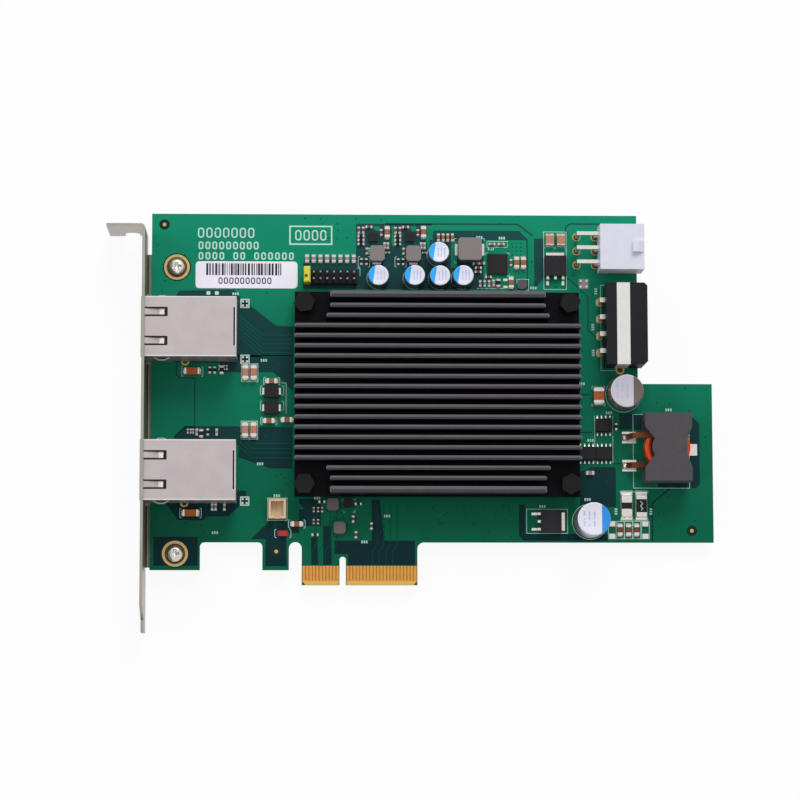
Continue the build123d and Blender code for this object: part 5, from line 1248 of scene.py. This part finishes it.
# %% Vias
vias = Heap()
VIA_PITCH_X, VIA_PITCH_Y = 1.25, 1.15
columns, rows = np.meshgrid(np.arange(4), np.arange(4))
fields = [np.stack([49.6 + VIA_PITCH_X * columns.ravel(), 102.6 - VIA_PITCH_Y * rows.ravel()], 1)]
fields.append(np.stack([71.5 + rng.uniform(0, 38, 40), 60.0 - rng.uniform(0, 44, 40)], 1))
for count, across, along in (
        (60, (-56, -15), (14, 110)), (60, (-14, 80), (88.8, 110)), (50, (-14, 70), (13.5, 25))):
    fields.append(np.stack([rng.uniform(*across, count), rng.uniform(*along, count)], 1))
for place in np.concatenate(fields):
    vias.add(turning([(0, 0.0), (0.26, 0.0), (0.22, 0.05), (0, 0.05)], place, 10), 0)
vias.make("vias", [board_deep], slot="laminate")

# %% [markdown]
# ## Floor and light
#
# The portrait has a white ground and soft, even light. The floor is pale, and
# for the camera and for reflections part of its colour is its own light, so it
# comes out white while the card's soft shadow stays on it. A broad lamp beyond
# the card's top edge does most of the work, and a weaker one on the left helps.

# %% Floor
FLOOR_HALF, FLOOR_GLOW = 1.5, 0.92


def seen_rays(start):
    """1 for rays from the camera and those that a surface reflects or lets through, else 0."""
    camera_ray, glossy_ray, transmission_ray = 0, 3, 6
    rays = [start.node("ShaderNodeLightPath", output=i) for i in (camera_ray, glossy_ray, transmission_ray)]
    return start.node("ShaderNodeMath", {"operation": "MINIMUM"}, {0: rays[0] + rays[1] + rays[2], 1: 1.0})


floor_mesh = bpy.data.meshes.new("floor")
corners = [(FLOOR_HALF * x, FLOOR_HALF * y, cad_low.z) for x, y in ((-1, -1), (1, -1), (1, 1), (-1, 1))]
floor_mesh.from_pydata(corners, [], [(0, 1, 2, 3)])
floor = bpy.data.objects.new("floor", floor_mesh)
bpy.context.scene.collection.objects.link(floor)
material, shader, place = start_finish("floor_paper")
end_finish(shader, blend(noise(place, 30.0), ink(246, 246, 246), ink(242, 242, 242)), 0.9)
shader.inputs["Specular IOR Level"].default_value = 0.0
glow = place.node("ShaderNodeEmission", (), {0: (1.0, 1.0, 1.0, 1.0), 1: 1.0})
mixed = place.node("ShaderNodeMixShader", (), {
    0: seen_rays(place) * FLOOR_GLOW, 1: Field(place.tree, shader.outputs[0]), 2: glow})
output = next(n for n in place.tree.nodes if n.type == "OUTPUT_MATERIAL")
place.tree.links.new(mixed.socket, output.inputs[0])
floor_mesh.materials.append(material)
floor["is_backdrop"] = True

# %% World and lamps
AMBIENT = 0.50
world = bpy.data.worlds.new("studio")
world.use_nodes = True
bpy.context.scene.world = world
sky = world.node_tree.nodes["Background"]
sky.inputs[0].default_value = (1.0, 1.0, 1.0, 1.0)
level = AMBIENT + (1.0 - AMBIENT) * seen_rays(Field(world.node_tree, None))
world.node_tree.links.new(level.socket, sky.inputs[1])


def lamp(name, place, target, size, power):
    """A square soft lamp at a place, pointing at a target; lengths in metres."""
    data = bpy.data.lights.new(name, "AREA")
    data.size = size
    data.energy = power
    light = bpy.data.objects.new(name, data)
    bpy.context.scene.collection.objects.link(light)
    light.location = place
    direction = (np.array(target) - np.array(place)).tolist()
    light.rotation_mode = "QUATERNION"
    light.rotation_quaternion = Matrix.Translation(direction).to_translation().to_track_quat("-Z", "Y")


CARD_MIDDLE = (0.02, 0.05, 0.0)
lamp("key", (0.25, 1.30, 1.10), CARD_MIDDLE, 0.8, 16.0)
lamp("fill", (-1.20, 0.30, 0.90), CARD_MIDDLE, 0.7, 4.0)
bpy.context.scene.view_settings.view_transform = "Standard"
print("lamps set")

# %% [markdown]
# ## Size against the solids
#
# The script prints how far the dressed card grows past its solids. The dressed card may
# not grow past its solids.

# %% Size
low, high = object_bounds()
growth = [round((b - a) / MM, 3) for a, b in zip([*low, *cad_high], [*cad_low, *high])]
print("grown by mm:", growth)
